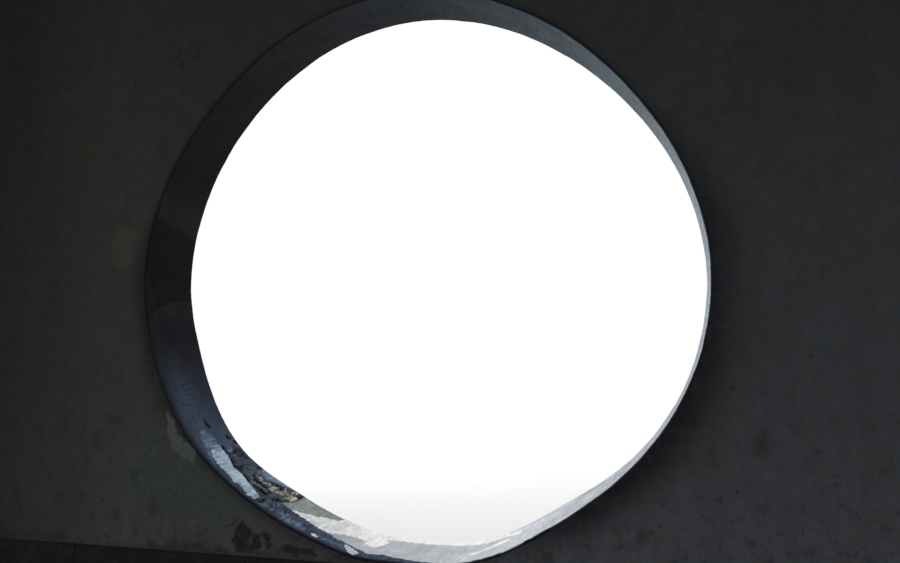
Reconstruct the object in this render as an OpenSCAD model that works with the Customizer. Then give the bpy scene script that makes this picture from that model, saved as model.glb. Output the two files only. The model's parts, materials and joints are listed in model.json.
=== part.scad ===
// A moon gate: one bay of a plastered brick garden wall with a round opening.
// X runs along the wall, Y through it and Z up. The origin is on the ground, at the middle of the bay.

/* [Wall bay] */
// Length of the bay along the wall
bay_l = 4800; // [4000:50:6000]
// Height of the brickwork over the round opening's haunches
crown_h = 210; // [120:10:800]
// Thickness of the brickwork, without plaster
brick_t = 320; // [240:10:480]
// Thickness of the plaster on each face
plaster_t = 20; // [12:1:35]
// Thickness of the plaster on each end of the bay
end_plaster_t = 20; // [12:1:35]

/* [Round opening] */
// Radius of the finished opening
opening_r = 1200; // [900:10:1250]
// Rise of the opening's lowest point above the plinth
sill_rise = 10; // [0:1:60]
// Thickness of the render that lines the opening
reveal_t = 35; // [20:1:45]
// Depth of the ring of bricks laid on edge round the opening
ring_d = 115; // [100:5:130]
// Width of brickwork left between the ring and the nearest straight joint
haunch_web = 60; // [40:5:90]

/* [Plinth] */
// Height of the plinth stones
plinth_h = 180; // [175:5:300]
// Distance that the plinth stands out from the plaster
plinth_proud = 25; // [15:1:60]
// Length of the threshold stone past the ring's seat, at each end
threshold_end = 100; // [60:5:300]
// Width of the weathered bevel on the plinth's upper edges
plinth_bevel = 12; // [4:1:14]
// Width of the mortar joint between two plinth stones
mortar_w = 4; // [2:1:8]

/* [Corbel courses] */
// Height of the lower course, which has a half-round nose
roll_h = 60; // [40:2:90]
// Height of the upper course, which is square
fascia_h = 60; // [40:2:90]
// Distance that the lower course stands out from the plaster
roll_out = 45; // [30:1:70]
// Distance that the upper course stands out from the lower one
fascia_out = 45; // [30:1:70]

/* [Tiled coping] */
// Slope of the tiles in degrees
slope_a = 26; // [18:1:34]
// Height of the bed's upright edge
bed_edge_h = 20; // [10:1:40]
// Distance that the tiles stand out from the upper course
eave_out = 40; // [25:1:70]
// Thickness of the gutter tiles with their bedding
tile_t = 30; // [24:1:45]
// Wanted distance between two rows of cover tiles
row_pitch = 190; // [160:2:240]
// Radius of the half-round cover tiles
cover_r = 55; // [45:1:60]
// Width of the hollow of each gutter
gutter_w = 68; // [40:1:72]
// Depth of the hollow of each gutter
gutter_d = 16; // [8:1:20]

/* [Eave tiles] */
// Width of a drip tile at its top
drip_w = 130; // [90:2:150]
// Length of a drip tile from its top to its point
drip_h = 88; // [78:1:110]
// Thickness of a drip tile
drip_t = 10; // [6:1:16]
// Distance that the round end of a cover row stands out from its tiles
disc_lip = 3; // [1:1:10]
// Thickness of the round end of a cover row
disc_t = 12; // [6:1:18]

/* [Ridge] */
// Width of the ridge's base
ridge_w = 120; // [90:2:170]
// Rise of the ridge's base above the cover rows
ridge_lip = 12; // [4:1:40]
// Distance that the ridge's cap stands out from its base
cap_out = 12; // [4:1:30]

/* [Hidden] */
$fn = 96;
// Sides of a preview of the circles round the opening
round_fn = 360;
// Bedding gap between two curved faces that seat in each other
bed_gap = 0.3;
// Extra length of a cutter past the face that it cuts
past = 50;

bay_half = bay_l / 2;
wall_t = brick_t + 2 * plaster_t;
core_half = bay_half - end_plaster_t;

centre_z = plinth_h + sill_rise + opening_r;
lining_r = opening_r + reveal_t;
ring_in = lining_r + bed_gap;
ring_out = ring_in + ring_d;
seat_r = ring_out + bed_gap;
pier_x = seat_r + haunch_web;
crown_z = centre_z + seat_r + haunch_web;
wall_top = crown_z + crown_h;
ring_step = 45;

plinth_w = wall_t + 2 * plinth_proud;
threshold_half = sqrt(pow(seat_r, 2) - pow(centre_z - plinth_h, 2)) + threshold_end;
stone_l = (bay_half - threshold_half - 2 * mortar_w) / 2;
near_stone_x = threshold_half + mortar_w;
far_stone_x = near_stone_x + stone_l + mortar_w;

roll_half = wall_t / 2 + roll_out;
fascia_half = roll_half + fascia_out;
fascia_z = wall_top + roll_h;
bed_z = fascia_z + fascia_h;

eave_y = fascia_half + eave_out;
ridge_half = ridge_w / 2;
tile_rise = tile_t / cos(slope_a);
slope_l = (eave_y - ridge_half) / cos(slope_a);
disc_r = cover_r + disc_lip;
row_count = round((bay_l - 2 * disc_r) / row_pitch);
pitch = (bay_l - 2 * disc_r) / row_count;
gutter_r = (pow(gutter_w / 2, 2) + pow(gutter_d, 2)) / (2 * gutter_d);
cover_rise = cover_r / cos(slope_a);

drip_arc_r = (pow(drip_h, 2) / (drip_w / 2) + drip_w / 2) / 2;
drip_arc_x = drip_arc_r - drip_w / 2;

// Height of the bed's top, and of the tiles' top, at a distance y from the wall's middle
function bed_top(y) = bed_z + bed_edge_h + (fascia_half - y) * tan(slope_a);
function tile_top(y) = bed_top(y) + tile_rise;

ridge_z = tile_top(ridge_half) + cover_rise + ridge_lip;
cap_r = ridge_half + cap_out;

// Colours of the materials, as the photograph shows them or as such walls have them
plaster_grey = "#a3a299";
render_grey = "#8f9498";
brick_grey = "#8a7a68";
stone_grey = "#55585a";
tile_grey = "#4a4d50";
lime_grey = "#8d8d86";

// Stands a flat outline up in the plane of the wall, round the middle of the opening
module around_opening() {
  translate([0, 0, centre_z]) rotate([90, 0, 0]) children();
}

// Runs an outline drawn in Y and Z along the wall, from x = from over the length
module along_wall(from, length) {
  translate([from, 0, 0]) rotate([90, 0, 90]) linear_extrude(length) children();
}

// An upright slab of wall between two places along it and two heights
module wall_slab(x0, x1, z0, z1, thickness) {
  translate([x0, -thickness / 2, z0]) cube([x1 - x0, thickness, z1 - z0]);
}

// A straight cylinder through the wall, round the middle of the opening
module round_cut(radius, depth) {
  around_opening() cylinder(r = radius, h = depth, center = true, $fn = round_fn);
}

// Plinth: dressed stones as wide as the wall and a little more
module plinth_outline() {
  half = plinth_w / 2;
  polygon([
    [-half, 0], [half, 0], [half, plinth_h - plinth_bevel], [half - plinth_bevel, plinth_h],
    [plinth_bevel - half, plinth_h], [-half, plinth_h - plinth_bevel]
  ]);
}

module plinth_stone(from) {
  color(stone_grey) along_wall(from, stone_l) plinth_outline();
}

// The threshold's top is hollowed to take the foot of the ring, and the foot of the wider and
// shallower reveal. What stands out from the plaster stays as an upright lip on each side.
module threshold_stone() {
  color(stone_grey) difference() {
    along_wall(-threshold_half, 2 * threshold_half) plinth_outline();
    round_cut(seat_r, brick_t + 2 * bed_gap);
    round_cut(lining_r + bed_gap, wall_t);
  }
}

module plinth_stone_left() { plinth_stone(-near_stone_x - stone_l); }
module plinth_stone_far_left() { plinth_stone(-far_stone_x - stone_l); }
module plinth_stone_right() { plinth_stone(near_stone_x); }
module plinth_stone_far_right() { plinth_stone(far_stone_x); }

// Brickwork: a pier on each side, four haunches that fit the ring, and the wall over it
module pier(x0, x1) {
  color(brick_grey) wall_slab(x0, x1, plinth_h, wall_top, brick_t);
}

module haunch(x0, x1, z0, z1) {
  color(brick_grey) difference() {
    wall_slab(x0, x1, z0, z1, brick_t);
    round_cut(seat_r, brick_t + past);
  }
}

module pier_left() { pier(-core_half, -pier_x); }
module pier_right() { pier(pier_x, core_half); }
module haunch_lower_left() { haunch(-pier_x, 0, plinth_h, centre_z); }
module haunch_lower_right() { haunch(0, pier_x, plinth_h, centre_z); }
module haunch_upper_left() { haunch(-pier_x, 0, centre_z, crown_z); }
module haunch_upper_right() { haunch(0, pier_x, centre_z, crown_z); }
module wall_crown() {
  color(brick_grey) wall_slab(-pier_x, pier_x, crown_z, wall_top, brick_t);
}

// Ring: bricks on edge all round the opening, in eight stretches named by where they lie
module ring_stretch(middle) {
  color(brick_grey) around_opening() rotate([0, 0, middle - ring_step / 2])
    rotate_extrude(angle = ring_step, $fn = round_fn)
      translate([ring_in, -brick_t / 2]) square([ring_d, brick_t]);
}

module ring_right() { ring_stretch(0); }
module ring_upper_right() { ring_stretch(ring_step); }
module ring_crown() { ring_stretch(2 * ring_step); }
module ring_upper_left() { ring_stretch(3 * ring_step); }
module ring_left() { ring_stretch(4 * ring_step); }
module ring_lower_left() { ring_stretch(5 * ring_step); }
module ring_foot() { ring_stretch(6 * ring_step); }
module ring_lower_right() { ring_stretch(7 * ring_step); }

// Reveal: one coat of render all round the opening, out to both plastered faces
module reveal_render() {
  color(render_grey) difference() {
    round_cut(lining_r, wall_t);
    round_cut(opening_r, wall_t + past);
  }
}

// Plaster: a coat on each face, cut round the reveal, and a coat on each end
module plaster_face(side) {
  color(plaster_grey) difference() {
    translate([0, side * (brick_t + plaster_t) / 2, 0])
      wall_slab(-core_half, core_half, plinth_h, wall_top, plaster_t);
    round_cut(lining_r + bed_gap, wall_t + past);
  }
}

module plaster_end(x0) {
  color(plaster_grey) wall_slab(x0, x0 + end_plaster_t, plinth_h, wall_top, wall_t);
}

module plaster_front() { plaster_face(-1); }
module plaster_back() { plaster_face(1); }
module plaster_end_left() { plaster_end(-bay_half); }
module plaster_end_right() { plaster_end(core_half); }

// Corbel courses: a half-round course with a square one on it
module corbel_roll() {
  nose = roll_h / 2;
  color(lime_grey) along_wall(-bay_half, bay_l) translate([0, wall_top + nose]) union() {
    square([2 * (roll_half - nose), roll_h], center = true);
    for (side = [-1, 1]) translate([side * (roll_half - nose), 0]) circle(r = nose);
  }
}

module corbel_fascia() {
  color(lime_grey) along_wall(-bay_half, bay_l)
    translate([-fascia_half, fascia_z]) square([2 * fascia_half, fascia_h]);
}

// Bed: brick and lime, sloped on both sides to carry the tiles
module coping_bed() {
  color(lime_grey) along_wall(-bay_half, bay_l) polygon([
    [-fascia_half, bed_z], [fascia_half, bed_z], [fascia_half, bed_top(fascia_half)],
    [0, bed_top(0)], [-fascia_half, bed_top(fascia_half)]
  ]);
}

// Puts what is drawn on the front slope on the front or the back one
module on_side(side) {
  if (side < 0) children();
  else mirror([0, 1, 0]) children();
}

// A frame on the top of the front tiles: Y runs up the slope from the eave, Z stands out from it
module on_slope() {
  translate([0, -eave_y, tile_top(eave_y)]) rotate([slope_a, 0, 0]) children();
}

// A bar that runs up the slope and past both of its ends
module slope_bar(x, height, radius) {
  on_slope() translate([x, -past, height]) rotate([-90, 0, 0])
    cylinder(r = radius, h = slope_l + 2 * past);
}

function row_x(i) = disc_r - bay_half + i * pitch;

module gutter_hollows() {
  for (i = [0 : row_count - 1]) slope_bar(row_x(i + 0.5), gutter_r - gutter_d, gutter_r);
}

// Gutter tiles: a sloping layer with one hollow between each two cover rows
module gutter_tiles(side) {
  color(tile_grey) on_side(side) difference() {
    along_wall(-bay_half, bay_l) polygon([
      [-ridge_half, bed_top(ridge_half)], [-eave_y, bed_top(eave_y)],
      [-eave_y, tile_top(eave_y)], [-ridge_half, tile_top(ridge_half)]
    ]);
    gutter_hollows();
  }
}

// Cover tiles: half-round rows from the ridge's base to the back of the round ends
module cover_tiles(side) {
  end_y = eave_y + drip_t;
  clear = 2 * cover_rise;
  color(tile_grey) on_side(side) intersection() {
    union() for (i = [0 : row_count]) slope_bar(row_x(i), 0, cover_r);
    along_wall(-bay_half, bay_l) polygon([
      [-ridge_half, tile_top(ridge_half)], [-end_y, tile_top(end_y)],
      [-end_y, tile_top(end_y) + clear], [-ridge_half, tile_top(ridge_half) + clear]
    ]);
  }
}

// Drip tiles: a pointed tongue at the foot of each gutter, hollowed as the gutter is
module drip_outline() {
  intersection() {
    translate([drip_arc_x, 0]) circle(r = drip_arc_r);
    translate([-drip_arc_x, 0]) circle(r = drip_arc_r);
    translate([-drip_w, -2 * drip_h]) square([2 * drip_w, 2 * drip_h]);
  }
}

module drip_tiles(side) {
  color(tile_grey) on_side(side) difference() {
    for (i = [0 : row_count - 1])
      translate([row_x(i + 0.5), -eave_y, tile_top(eave_y + drip_t)]) rotate([90, 0, 0])
        linear_extrude(drip_t) drip_outline();
    gutter_hollows();
  }
}

// Round ends: a disc that closes each cover row and rests against the drip tiles beside it
module cover_ends(side) {
  color(tile_grey) on_side(side)
    for (i = [0 : row_count])
      translate([row_x(i), -eave_y - drip_t, tile_top(eave_y + drip_t)]) rotate([90, 0, 0])
        cylinder(r = disc_r, h = disc_t);
}

module gutter_tiles_front() { gutter_tiles(-1); }
module gutter_tiles_back() { gutter_tiles(1); }
module cover_tiles_front() { cover_tiles(-1); }
module cover_tiles_back() { cover_tiles(1); }
module drip_tiles_front() { drip_tiles(-1); }
module drip_tiles_back() { drip_tiles(1); }
module cover_ends_front() { cover_ends(-1); }
module cover_ends_back() { cover_ends(1); }

// Ridge: a base that straddles the bed's top between the two slopes, and a half-round cap
module ridge_base() {
  color(lime_grey) along_wall(-bay_half, bay_l) polygon([
    [-ridge_half, bed_top(ridge_half)], [0, bed_top(0)], [ridge_half, bed_top(ridge_half)],
    [ridge_half, ridge_z], [-ridge_half, ridge_z]
  ]);
}

module ridge_cap() {
  color(tile_grey) along_wall(-bay_half, bay_l) translate([0, ridge_z]) intersection() {
    circle(r = cap_r);
    translate([-cap_r, 0]) square([2 * cap_r, cap_r]);
  }
}

threshold_stone();
plinth_stone_left();
plinth_stone_far_left();
plinth_stone_right();
plinth_stone_far_right();
pier_left();
pier_right();
haunch_lower_left();
haunch_lower_right();
haunch_upper_left();
haunch_upper_right();
wall_crown();
ring_foot();
ring_lower_right();
ring_right();
ring_upper_right();
ring_crown();
ring_upper_left();
ring_left();
ring_lower_left();
reveal_render();
plaster_front();
plaster_back();
plaster_end_left();
plaster_end_right();
corbel_roll();
corbel_fascia();
coping_bed();
gutter_tiles_front();
gutter_tiles_back();
cover_tiles_front();
cover_tiles_back();
drip_tiles_front();
drip_tiles_back();
cover_ends_front();
cover_ends_back();
ridge_base();
ridge_cap();
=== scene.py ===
# %% [markdown]
# # A moon gate, dressed in Blender
# The object is one bay of a plastered brick wall with a round opening that people walk through. The
# imported CAD model is the fixed frame: it says where each piece is and how large. This lesson adds what
# the eye sees on it: old plaster, a worn grey reveal, dressed stone and a tiled coping.
# The frame is loaded first, because every piece takes its place from it.

# %% Load the frame
import itertools
import json
import math
import random

import bmesh
import bpy
import numpy as np
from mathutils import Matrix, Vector

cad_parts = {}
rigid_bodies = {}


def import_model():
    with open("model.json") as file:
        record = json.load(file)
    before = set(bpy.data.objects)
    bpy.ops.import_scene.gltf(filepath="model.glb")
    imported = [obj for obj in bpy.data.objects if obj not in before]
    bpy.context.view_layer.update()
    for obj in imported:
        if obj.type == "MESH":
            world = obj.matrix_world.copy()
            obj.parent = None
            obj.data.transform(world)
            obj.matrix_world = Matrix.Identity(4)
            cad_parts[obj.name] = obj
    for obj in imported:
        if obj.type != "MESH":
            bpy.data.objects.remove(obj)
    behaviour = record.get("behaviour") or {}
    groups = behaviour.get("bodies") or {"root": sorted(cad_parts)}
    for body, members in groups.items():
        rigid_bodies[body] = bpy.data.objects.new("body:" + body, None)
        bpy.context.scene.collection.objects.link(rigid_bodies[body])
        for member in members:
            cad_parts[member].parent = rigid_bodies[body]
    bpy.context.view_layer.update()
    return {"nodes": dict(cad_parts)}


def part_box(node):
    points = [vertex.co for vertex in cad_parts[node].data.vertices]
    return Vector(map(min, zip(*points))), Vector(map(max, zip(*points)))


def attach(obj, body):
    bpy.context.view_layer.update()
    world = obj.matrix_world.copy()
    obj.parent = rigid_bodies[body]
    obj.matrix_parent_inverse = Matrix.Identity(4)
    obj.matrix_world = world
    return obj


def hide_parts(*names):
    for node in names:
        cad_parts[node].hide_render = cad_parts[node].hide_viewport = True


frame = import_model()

MM = 0.001

# %% [markdown]
# ## Sizes from the frame
# The opening, the wall and the coping are read from the boxes of their nodes, so that nothing is fitted
# by eye. The frame has no radius as such: half the width of the reveal's box is its outer radius, and
# the render is 35 mm thick.

# %% Sizes of the opening and the wall
RENDER_T = 35 * MM
reveal_low, reveal_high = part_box("reveal_render")
CENTRE_Z = (reveal_low.z + reveal_high.z) / 2
LINING_R = (reveal_high.x - reveal_low.x) / 2
OPENING_R = LINING_R - RENDER_T
NEAR_Y, FAR_Y = reveal_low.y, reveal_high.y
WALL_T = FAR_Y - NEAR_Y
print("opening radius %.3f m, centre %.3f m up, wall %.3f m thick" % (OPENING_R, CENTRE_Z, WALL_T))

# %% [markdown]
# ## Camera
# The photograph was taken close to the wall, a little right of the opening's middle and below it, with
# the lens turned to the left and slightly up. A camera could be placed by eye and nudged. Here its place
# comes from fitting both rims of the opening, and it is written as real distances.

# %% Camera
CAMERA_PLACE = Vector((1.067, -3.571, 1.156))
TO_LEFT, UPWARD = math.radians(14.35), math.radians(3.25)
LENS_MM, SENSOR_MM = 34, 36


def in_scene(name, data):
    """A new object of the scene that shows this data."""
    thing = bpy.data.objects.new(name, data)
    bpy.context.collection.objects.link(thing)
    return thing


def aim(thing, place, direction):
    """Puts a camera or a lamp at a place and turns it to a direction."""
    thing.location = place
    thing.rotation_mode = "QUATERNION"
    thing.rotation_quaternion = direction.to_track_quat("-Z", "Y")


camera_data = bpy.data.cameras.new("camera")
camera_data.lens, camera_data.sensor_width = LENS_MM, SENSOR_MM
camera = in_scene("camera", camera_data)
level = math.cos(UPWARD)
looking = Vector((-math.sin(TO_LEFT) * level, math.cos(TO_LEFT) * level, math.sin(UPWARD)))
aim(camera, CAMERA_PLACE, looking)
bpy.context.scene.camera = camera
print("camera looks along", [round(v, 3) for v in looking])

# %% [markdown]
# ## Colours and nodes
# Colours are written as sRGB hex values, as a picture editor shows them, and one function turns them to
# the linear values that shaders use. Materials are trees of nodes. One small function adds a node with
# its settings and links and gives back an output, so that a pattern reads as a few plain lines.

# %% Written colours
def linear(written):
    """A written sRGB colour as the linear colour that shaders take."""
    channels = [int(written[i:i + 2], 16) / 255 for i in (1, 3, 5)]
    return (*[c / 12.92 if c <= 0.04045 else ((c + 0.055) / 1.055) ** 2.4 for c in channels], 1.0)


print("mid grey #808080 is", round(linear("#808080")[0], 3), "in linear light")

# %% One function that adds a node
def empty_tree(data):
    """The node tree of a new world or material, with nothing in it yet."""
    data.use_nodes = True
    data.node_tree.nodes.clear()
    return data.node_tree


def add(tree, kind, inputs=(), out=None, stops=(), **settings):
    """Adds one node. inputs holds values or outputs, in order or by socket name; out names the output."""
    made = tree.nodes.new("ShaderNode" + kind)
    for name, value in settings.items():
        setattr(made, name, value)
    for key, value in inputs.items() if isinstance(inputs, dict) else enumerate(inputs):
        named = [s for s in made.inputs if s.enabled and s.name == key]
        socket = named[0] if named else made.inputs[key]
        if isinstance(value, bpy.types.NodeSocket):
            tree.links.new(value, socket)
        else:
            socket.default_value = value
    for count, (place, colour) in enumerate(stops):
        points = made.color_ramp.elements
        point = points[count] if count < 2 else points.new(place)
        point.position, point.color = place, linear(colour)
    found = [o for o in made.outputs if o.enabled and out in (None, o.name)]
    return found[0] if found else None


world = bpy.data.worlds.new("soft_box")
bpy.context.scene.world = world
print("the world", world.name, "has", len(empty_tree(world).nodes), "nodes")

# %% [markdown]
# ## Light and floor
# The light is plain and soft. The world lights every side evenly, a wide lamp high on the far side
# shows the relief inside the opening, and a weak one in front keeps the near face readable. The camera
# sees the world as white, while the object is lit at a lower strength, so nothing pale clips. The floor
# is pale, keeps the wall's shadow and fades to the white background far out.

# %% World
WORLD_LIGHT = 0.55
WHITE = (1, 1, 1, 1)
tree = world.node_tree
seen = add(tree, "LightPath", out="Is Camera Ray")
for ray in ("Is Glossy Ray", "Is Transmission Ray"):
    seen = add(tree, "Math", (seen, add(tree, "LightPath", out=ray)), operation="MAXIMUM")
strength = add(tree, "MapRange", {"Value": seen, "To Min": WORLD_LIGHT, "To Max": 1.0})
add(tree, "OutputWorld", {"Surface": add(tree, "Background", {"Color": WHITE, "Strength": strength})})
bpy.context.scene.view_settings.view_transform = "Standard"
print("world light", WORLD_LIGHT)

# %% Lamps
LAMPS = {
    # place, what it is aimed at, width in metres and power in watts
    "far_side_lamp": ((-2.5, 6.5, 6.5), (0, 0, 1.0), 5.0, 600),
    "near_side_lamp": ((-3.5, -6.0, 4.5), (-0.5, 0, 1.6), 4.0, 60),
}
for name, (place, target, width, power) in LAMPS.items():
    lamp_data = bpy.data.lights.new(name, "AREA")
    lamp_data.size, lamp_data.energy = width, power
    aim(in_scene(name, lamp_data), place, Vector(target) - Vector(place))
print("lamps:", ", ".join(LAMPS))

# %% Floor
FLOOR_HALF, FLOOR_Z = 60, -1 * MM
FADES_FROM, FADES_TO = 1.4, 6.5
corners = [(-1, -1), (1, -1), (1, 1), (-1, 1)]
floor_mesh = bpy.data.meshes.new("floor")
floor_mesh.from_pydata([(x * FLOOR_HALF, y * FLOOR_HALF, FLOOR_Z) for x, y in corners], [], [(0, 1, 2, 3)])
floor_paint = bpy.data.materials.new("pale_matt_floor")
tree = empty_tree(floor_paint)
paint = add(tree, "BsdfPrincipled", {"Base Color": linear("#e6e6e4"), "Roughness": 0.9})
glow = add(tree, "Emission", {"Color": WHITE, "Strength": 1.0})
away = add(tree, "VectorMath", [add(tree, "NewGeometry", out="Position")], operation="LENGTH")
faded = add(tree, "MapRange", {"Value": away, "From Min": FADES_FROM, "From Max": FADES_TO},
            interpolation_type="SMOOTHSTEP")
faded = add(tree, "Math", (faded, add(tree, "LightPath", out="Is Camera Ray")), operation="MULTIPLY")
add(tree, "OutputMaterial", {"Surface": add(tree, "MixShader", (faded, paint, glow))})
floor_mesh.materials.append(floor_paint)
floor = in_scene("floor", floor_mesh)
print("the floor fades to white from", FADES_FROM, "to", FADES_TO, "m away")

# %% [markdown]
# ## Tools for making meshes
# Almost every piece here is a run of like sections: a course along the wall, a tile down the slope, the
# reveal round the opening. They could be cut from solids with modifiers. Lofting the sections in code
# is chosen, because every point can then be worn by a formula that uses real millimetres. Old masonry
# is uneven, so a seeded noise gives the lumps, and it is the same in each run.

# %% Noise
LATTICE = 32


def lumps(points, cell, seed):
    """Smooth noise from -1 to 1, whose lumps are about cell metres across."""
    table = np.random.default_rng(seed).uniform(-1, 1, (LATTICE,) * 3)
    place = np.asarray(points) / cell
    low = np.floor(place).astype(int)
    t = place - low
    t = t * t * (3 - 2 * t)
    total = np.zeros(place.shape[:-1])
    for corner in itertools.product((0, 1), repeat=3):
        i, j, k = np.moveaxis((low + corner) % LATTICE, -1, 0)
        total += table[i, j, k] * np.prod(np.where(corner, t, 1 - t), axis=-1)
    return total


def rough(points, cell, seed, octaves=3):
    """Lumps with smaller lumps on them, each half as wide and half as high."""
    return sum(lumps(points, cell / 2 ** n, seed + n) / 2 ** n for n in range(octaves))


def step(value, low, high):
    """0 below low, 1 above high and a smooth rise between them."""
    t = np.clip((value - low) / (high - low), 0, 1)
    return t * t * (3 - 2 * t)


print("lumps at the origin:", lumps(np.zeros((1, 3)), 0.1, 1).round(3))

# %% Lofts
def loft(rings, closed=False):
    """Points and faces of a skin over rings[station, point, xyz]. Unless it is closed, both ends get caps."""
    stations, count = rings.shape[:2]
    i, j = np.meshgrid(np.arange(stations if closed else stations - 1), np.arange(count), indexing="ij")
    i2, j2 = (i + 1) % stations, (j + 1) % count
    quads = np.stack([i * count + j, i2 * count + j, i2 * count + j2, i * count + j2], -1)
    faces = quads.reshape(-1, 4).tolist()
    if not closed:
        last = (stations - 1) * count
        faces += [list(range(count)), list(range(last, last + count))]
    return rings.reshape(-1, 3), faces


print("a tube of 3 rings has", len(loft(np.zeros((3, 4, 3)))[1]), "faces")

# %% Sections along the wall
def along_wall(x, section):
    """Rings of one (y, z) section at each x along the wall."""
    rings = np.empty((len(x), len(section), 3))
    rings[..., 0] = x[:, None]
    rings[..., 1:] = section
    return rings


def outline(corners, pitch):
    """Points about pitch apart round a closed outline of corners."""
    points = []
    for a, b in zip(corners, corners[1:] + corners[:1]):
        count = max(1, round(math.dist(a, b) / pitch))
        points += [[p + (q - p) * n / count for p, q in zip(a, b)] for n in range(count)]
    return np.array(points)


def join(parts):
    """Several sets of points and faces as one."""
    points, faces, start = [], [], 0
    for some_points, some_faces in parts:
        points.append(some_points)
        faces += [[start + v for v in face] for face in some_faces]
        start += len(some_points)
    return np.concatenate(points), faces


square = outline([(0, 0), (1, 0), (1, 1), (0, 1)], 1)
print("a block lofted from two squares has", len(loft(along_wall(np.arange(2), square))[1]), "faces")

# %% Pieces
def make_piece(name, shape, material, nodes=(), sharp=None):
    """A mesh object on the wall's one body. Edges that bend by more than sharp degrees stay hard."""
    points, faces = shape
    mesh = bpy.data.meshes.new(name)
    mesh.from_pydata(points.tolist(), [], faces)
    build = bmesh.new()
    build.from_mesh(mesh)
    bmesh.ops.recalc_face_normals(build, faces=build.faces)
    volume = build.calc_volume(signed=True)
    if volume < 0:
        bmesh.ops.reverse_faces(build, faces=build.faces)
    build.to_mesh(mesh)
    build.free()
    mesh.materials.append(material)
    mesh.polygons.foreach_set("use_smooth", [True] * len(mesh.polygons))
    if sharp is not None:
        mesh.set_sharp_from_angle(angle=math.radians(sharp))
    piece = in_scene(name, mesh)
    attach(piece, "root")
    if nodes:
        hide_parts(*nodes)
    triangles = sum(len(face) - 2 for face in faces)
    print("%s: %d triangles, %.1f litres" % (name, triangles, abs(volume) * 1000))
    return piece


def keep(piece, marks):
    """Keeps the numbers of each mark at the points of a piece, for its material to read."""
    for name, values in marks.items():
        attribute = piece.data.attributes.new(name, "FLOAT", "POINT")
        attribute.data.foreach_set("value", np.ascontiguousarray(values, np.float32).ravel())


# %% [markdown]
# ## Where a mark lies
# Marks inside the opening are given by their turn in degrees round from the foot, positive to the left,
# and by their depth in millimetres behind the near face. Marks on the wall are given by x and z. A mark
# could be painted as an image. Here a small one is a brush stroke, a few places with a half width at
# each, and a large one is an outline. One measure of how far a place lies inside then gives both the
# relief in the mesh and the colour in the material.

# %% Strokes and outlines
def in_stroke(place, stroke):
    """How far places (metres) lie inside a stroke of (x, y, half width) in mm, negative outside it."""
    points = np.array(stroke, float) * MM
    deepest = np.full(place.shape[:-1], -1.0)
    for a, b in zip(points, points[1:] if len(points) > 1 else points):
        run = b[:2] - a[:2]
        along = np.clip((place - a[:2]) @ run / max(run @ run, 1e-9), 0, 1)
        away = np.linalg.norm(place - a[:2] - along[..., None] * run, axis=-1)
        deepest = np.maximum(deepest, a[2] + along * (b[2] - a[2]) - away)
    return deepest


def in_outline(place, corners):
    """How far places (metres) lie inside an outline of (x, y) corners in mm, negative outside it."""
    points = np.array(corners, float) * MM
    nearest = np.full(place.shape[:-1], 1.0)
    enclosed = np.zeros(place.shape[:-1], bool)
    for a, b in zip(points, np.roll(points, -1, axis=0)):
        run = b - a
        along = np.clip((place - a) @ run / (run @ run), 0, 1)
        nearest = np.minimum(nearest, np.linalg.norm(place - a - along[..., None] * run, axis=-1))
        level = place[..., 1]
        crosses = (a[1] > level) != (b[1] > level)
        reach = a[0] + (level - a[1]) * run[0] / (run[1] if run[1] else 1.0)
        enclosed ^= crosses & (place[..., 0] < reach)
    return np.where(enclosed, nearest, -nearest)


def inside(place, marks):
    """How far places lie inside the nearest of some strokes and outlines."""
    return np.max([(in_outline if len(mark[0]) == 2 else in_stroke)(place, mark) for mark in marks], axis=0)


print("a place 5 mm inside a stroke:", inside(np.array([0.0, 0.0]), [[(-10, 0, 5), (10, 0, 5)]]))

# %% Marks round the opening and their edges
ARC = math.radians(1) * OPENING_R / MM


def round_marks(*marks):
    """Strokes or outlines that start with (turn, depth) as marks along the reveal, all in mm."""
    return [[(turn * ARC, *rest) for turn, *rest in mark] for mark in marks]


def mask(deep, ragged, soft):
    """0 outside a mark and 1 inside it, with a ragged edge about soft mm wide."""
    return np.clip(0.5 + (deep + ragged) / (soft * MM), 0, 1)


print("one degree of the opening is %.1f mm" % ARC)

# %% [markdown]
# ## Marks on the reveal
# The render has come off in a long ragged patch at the lower left and shows the rough undercoat. Round
# it lie a pale lime repair, smooth grey patches, and cream patches lower down where many feet and hands
# have passed. The large marks are outlines, since their corners are what the eye knows them by.

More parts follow.
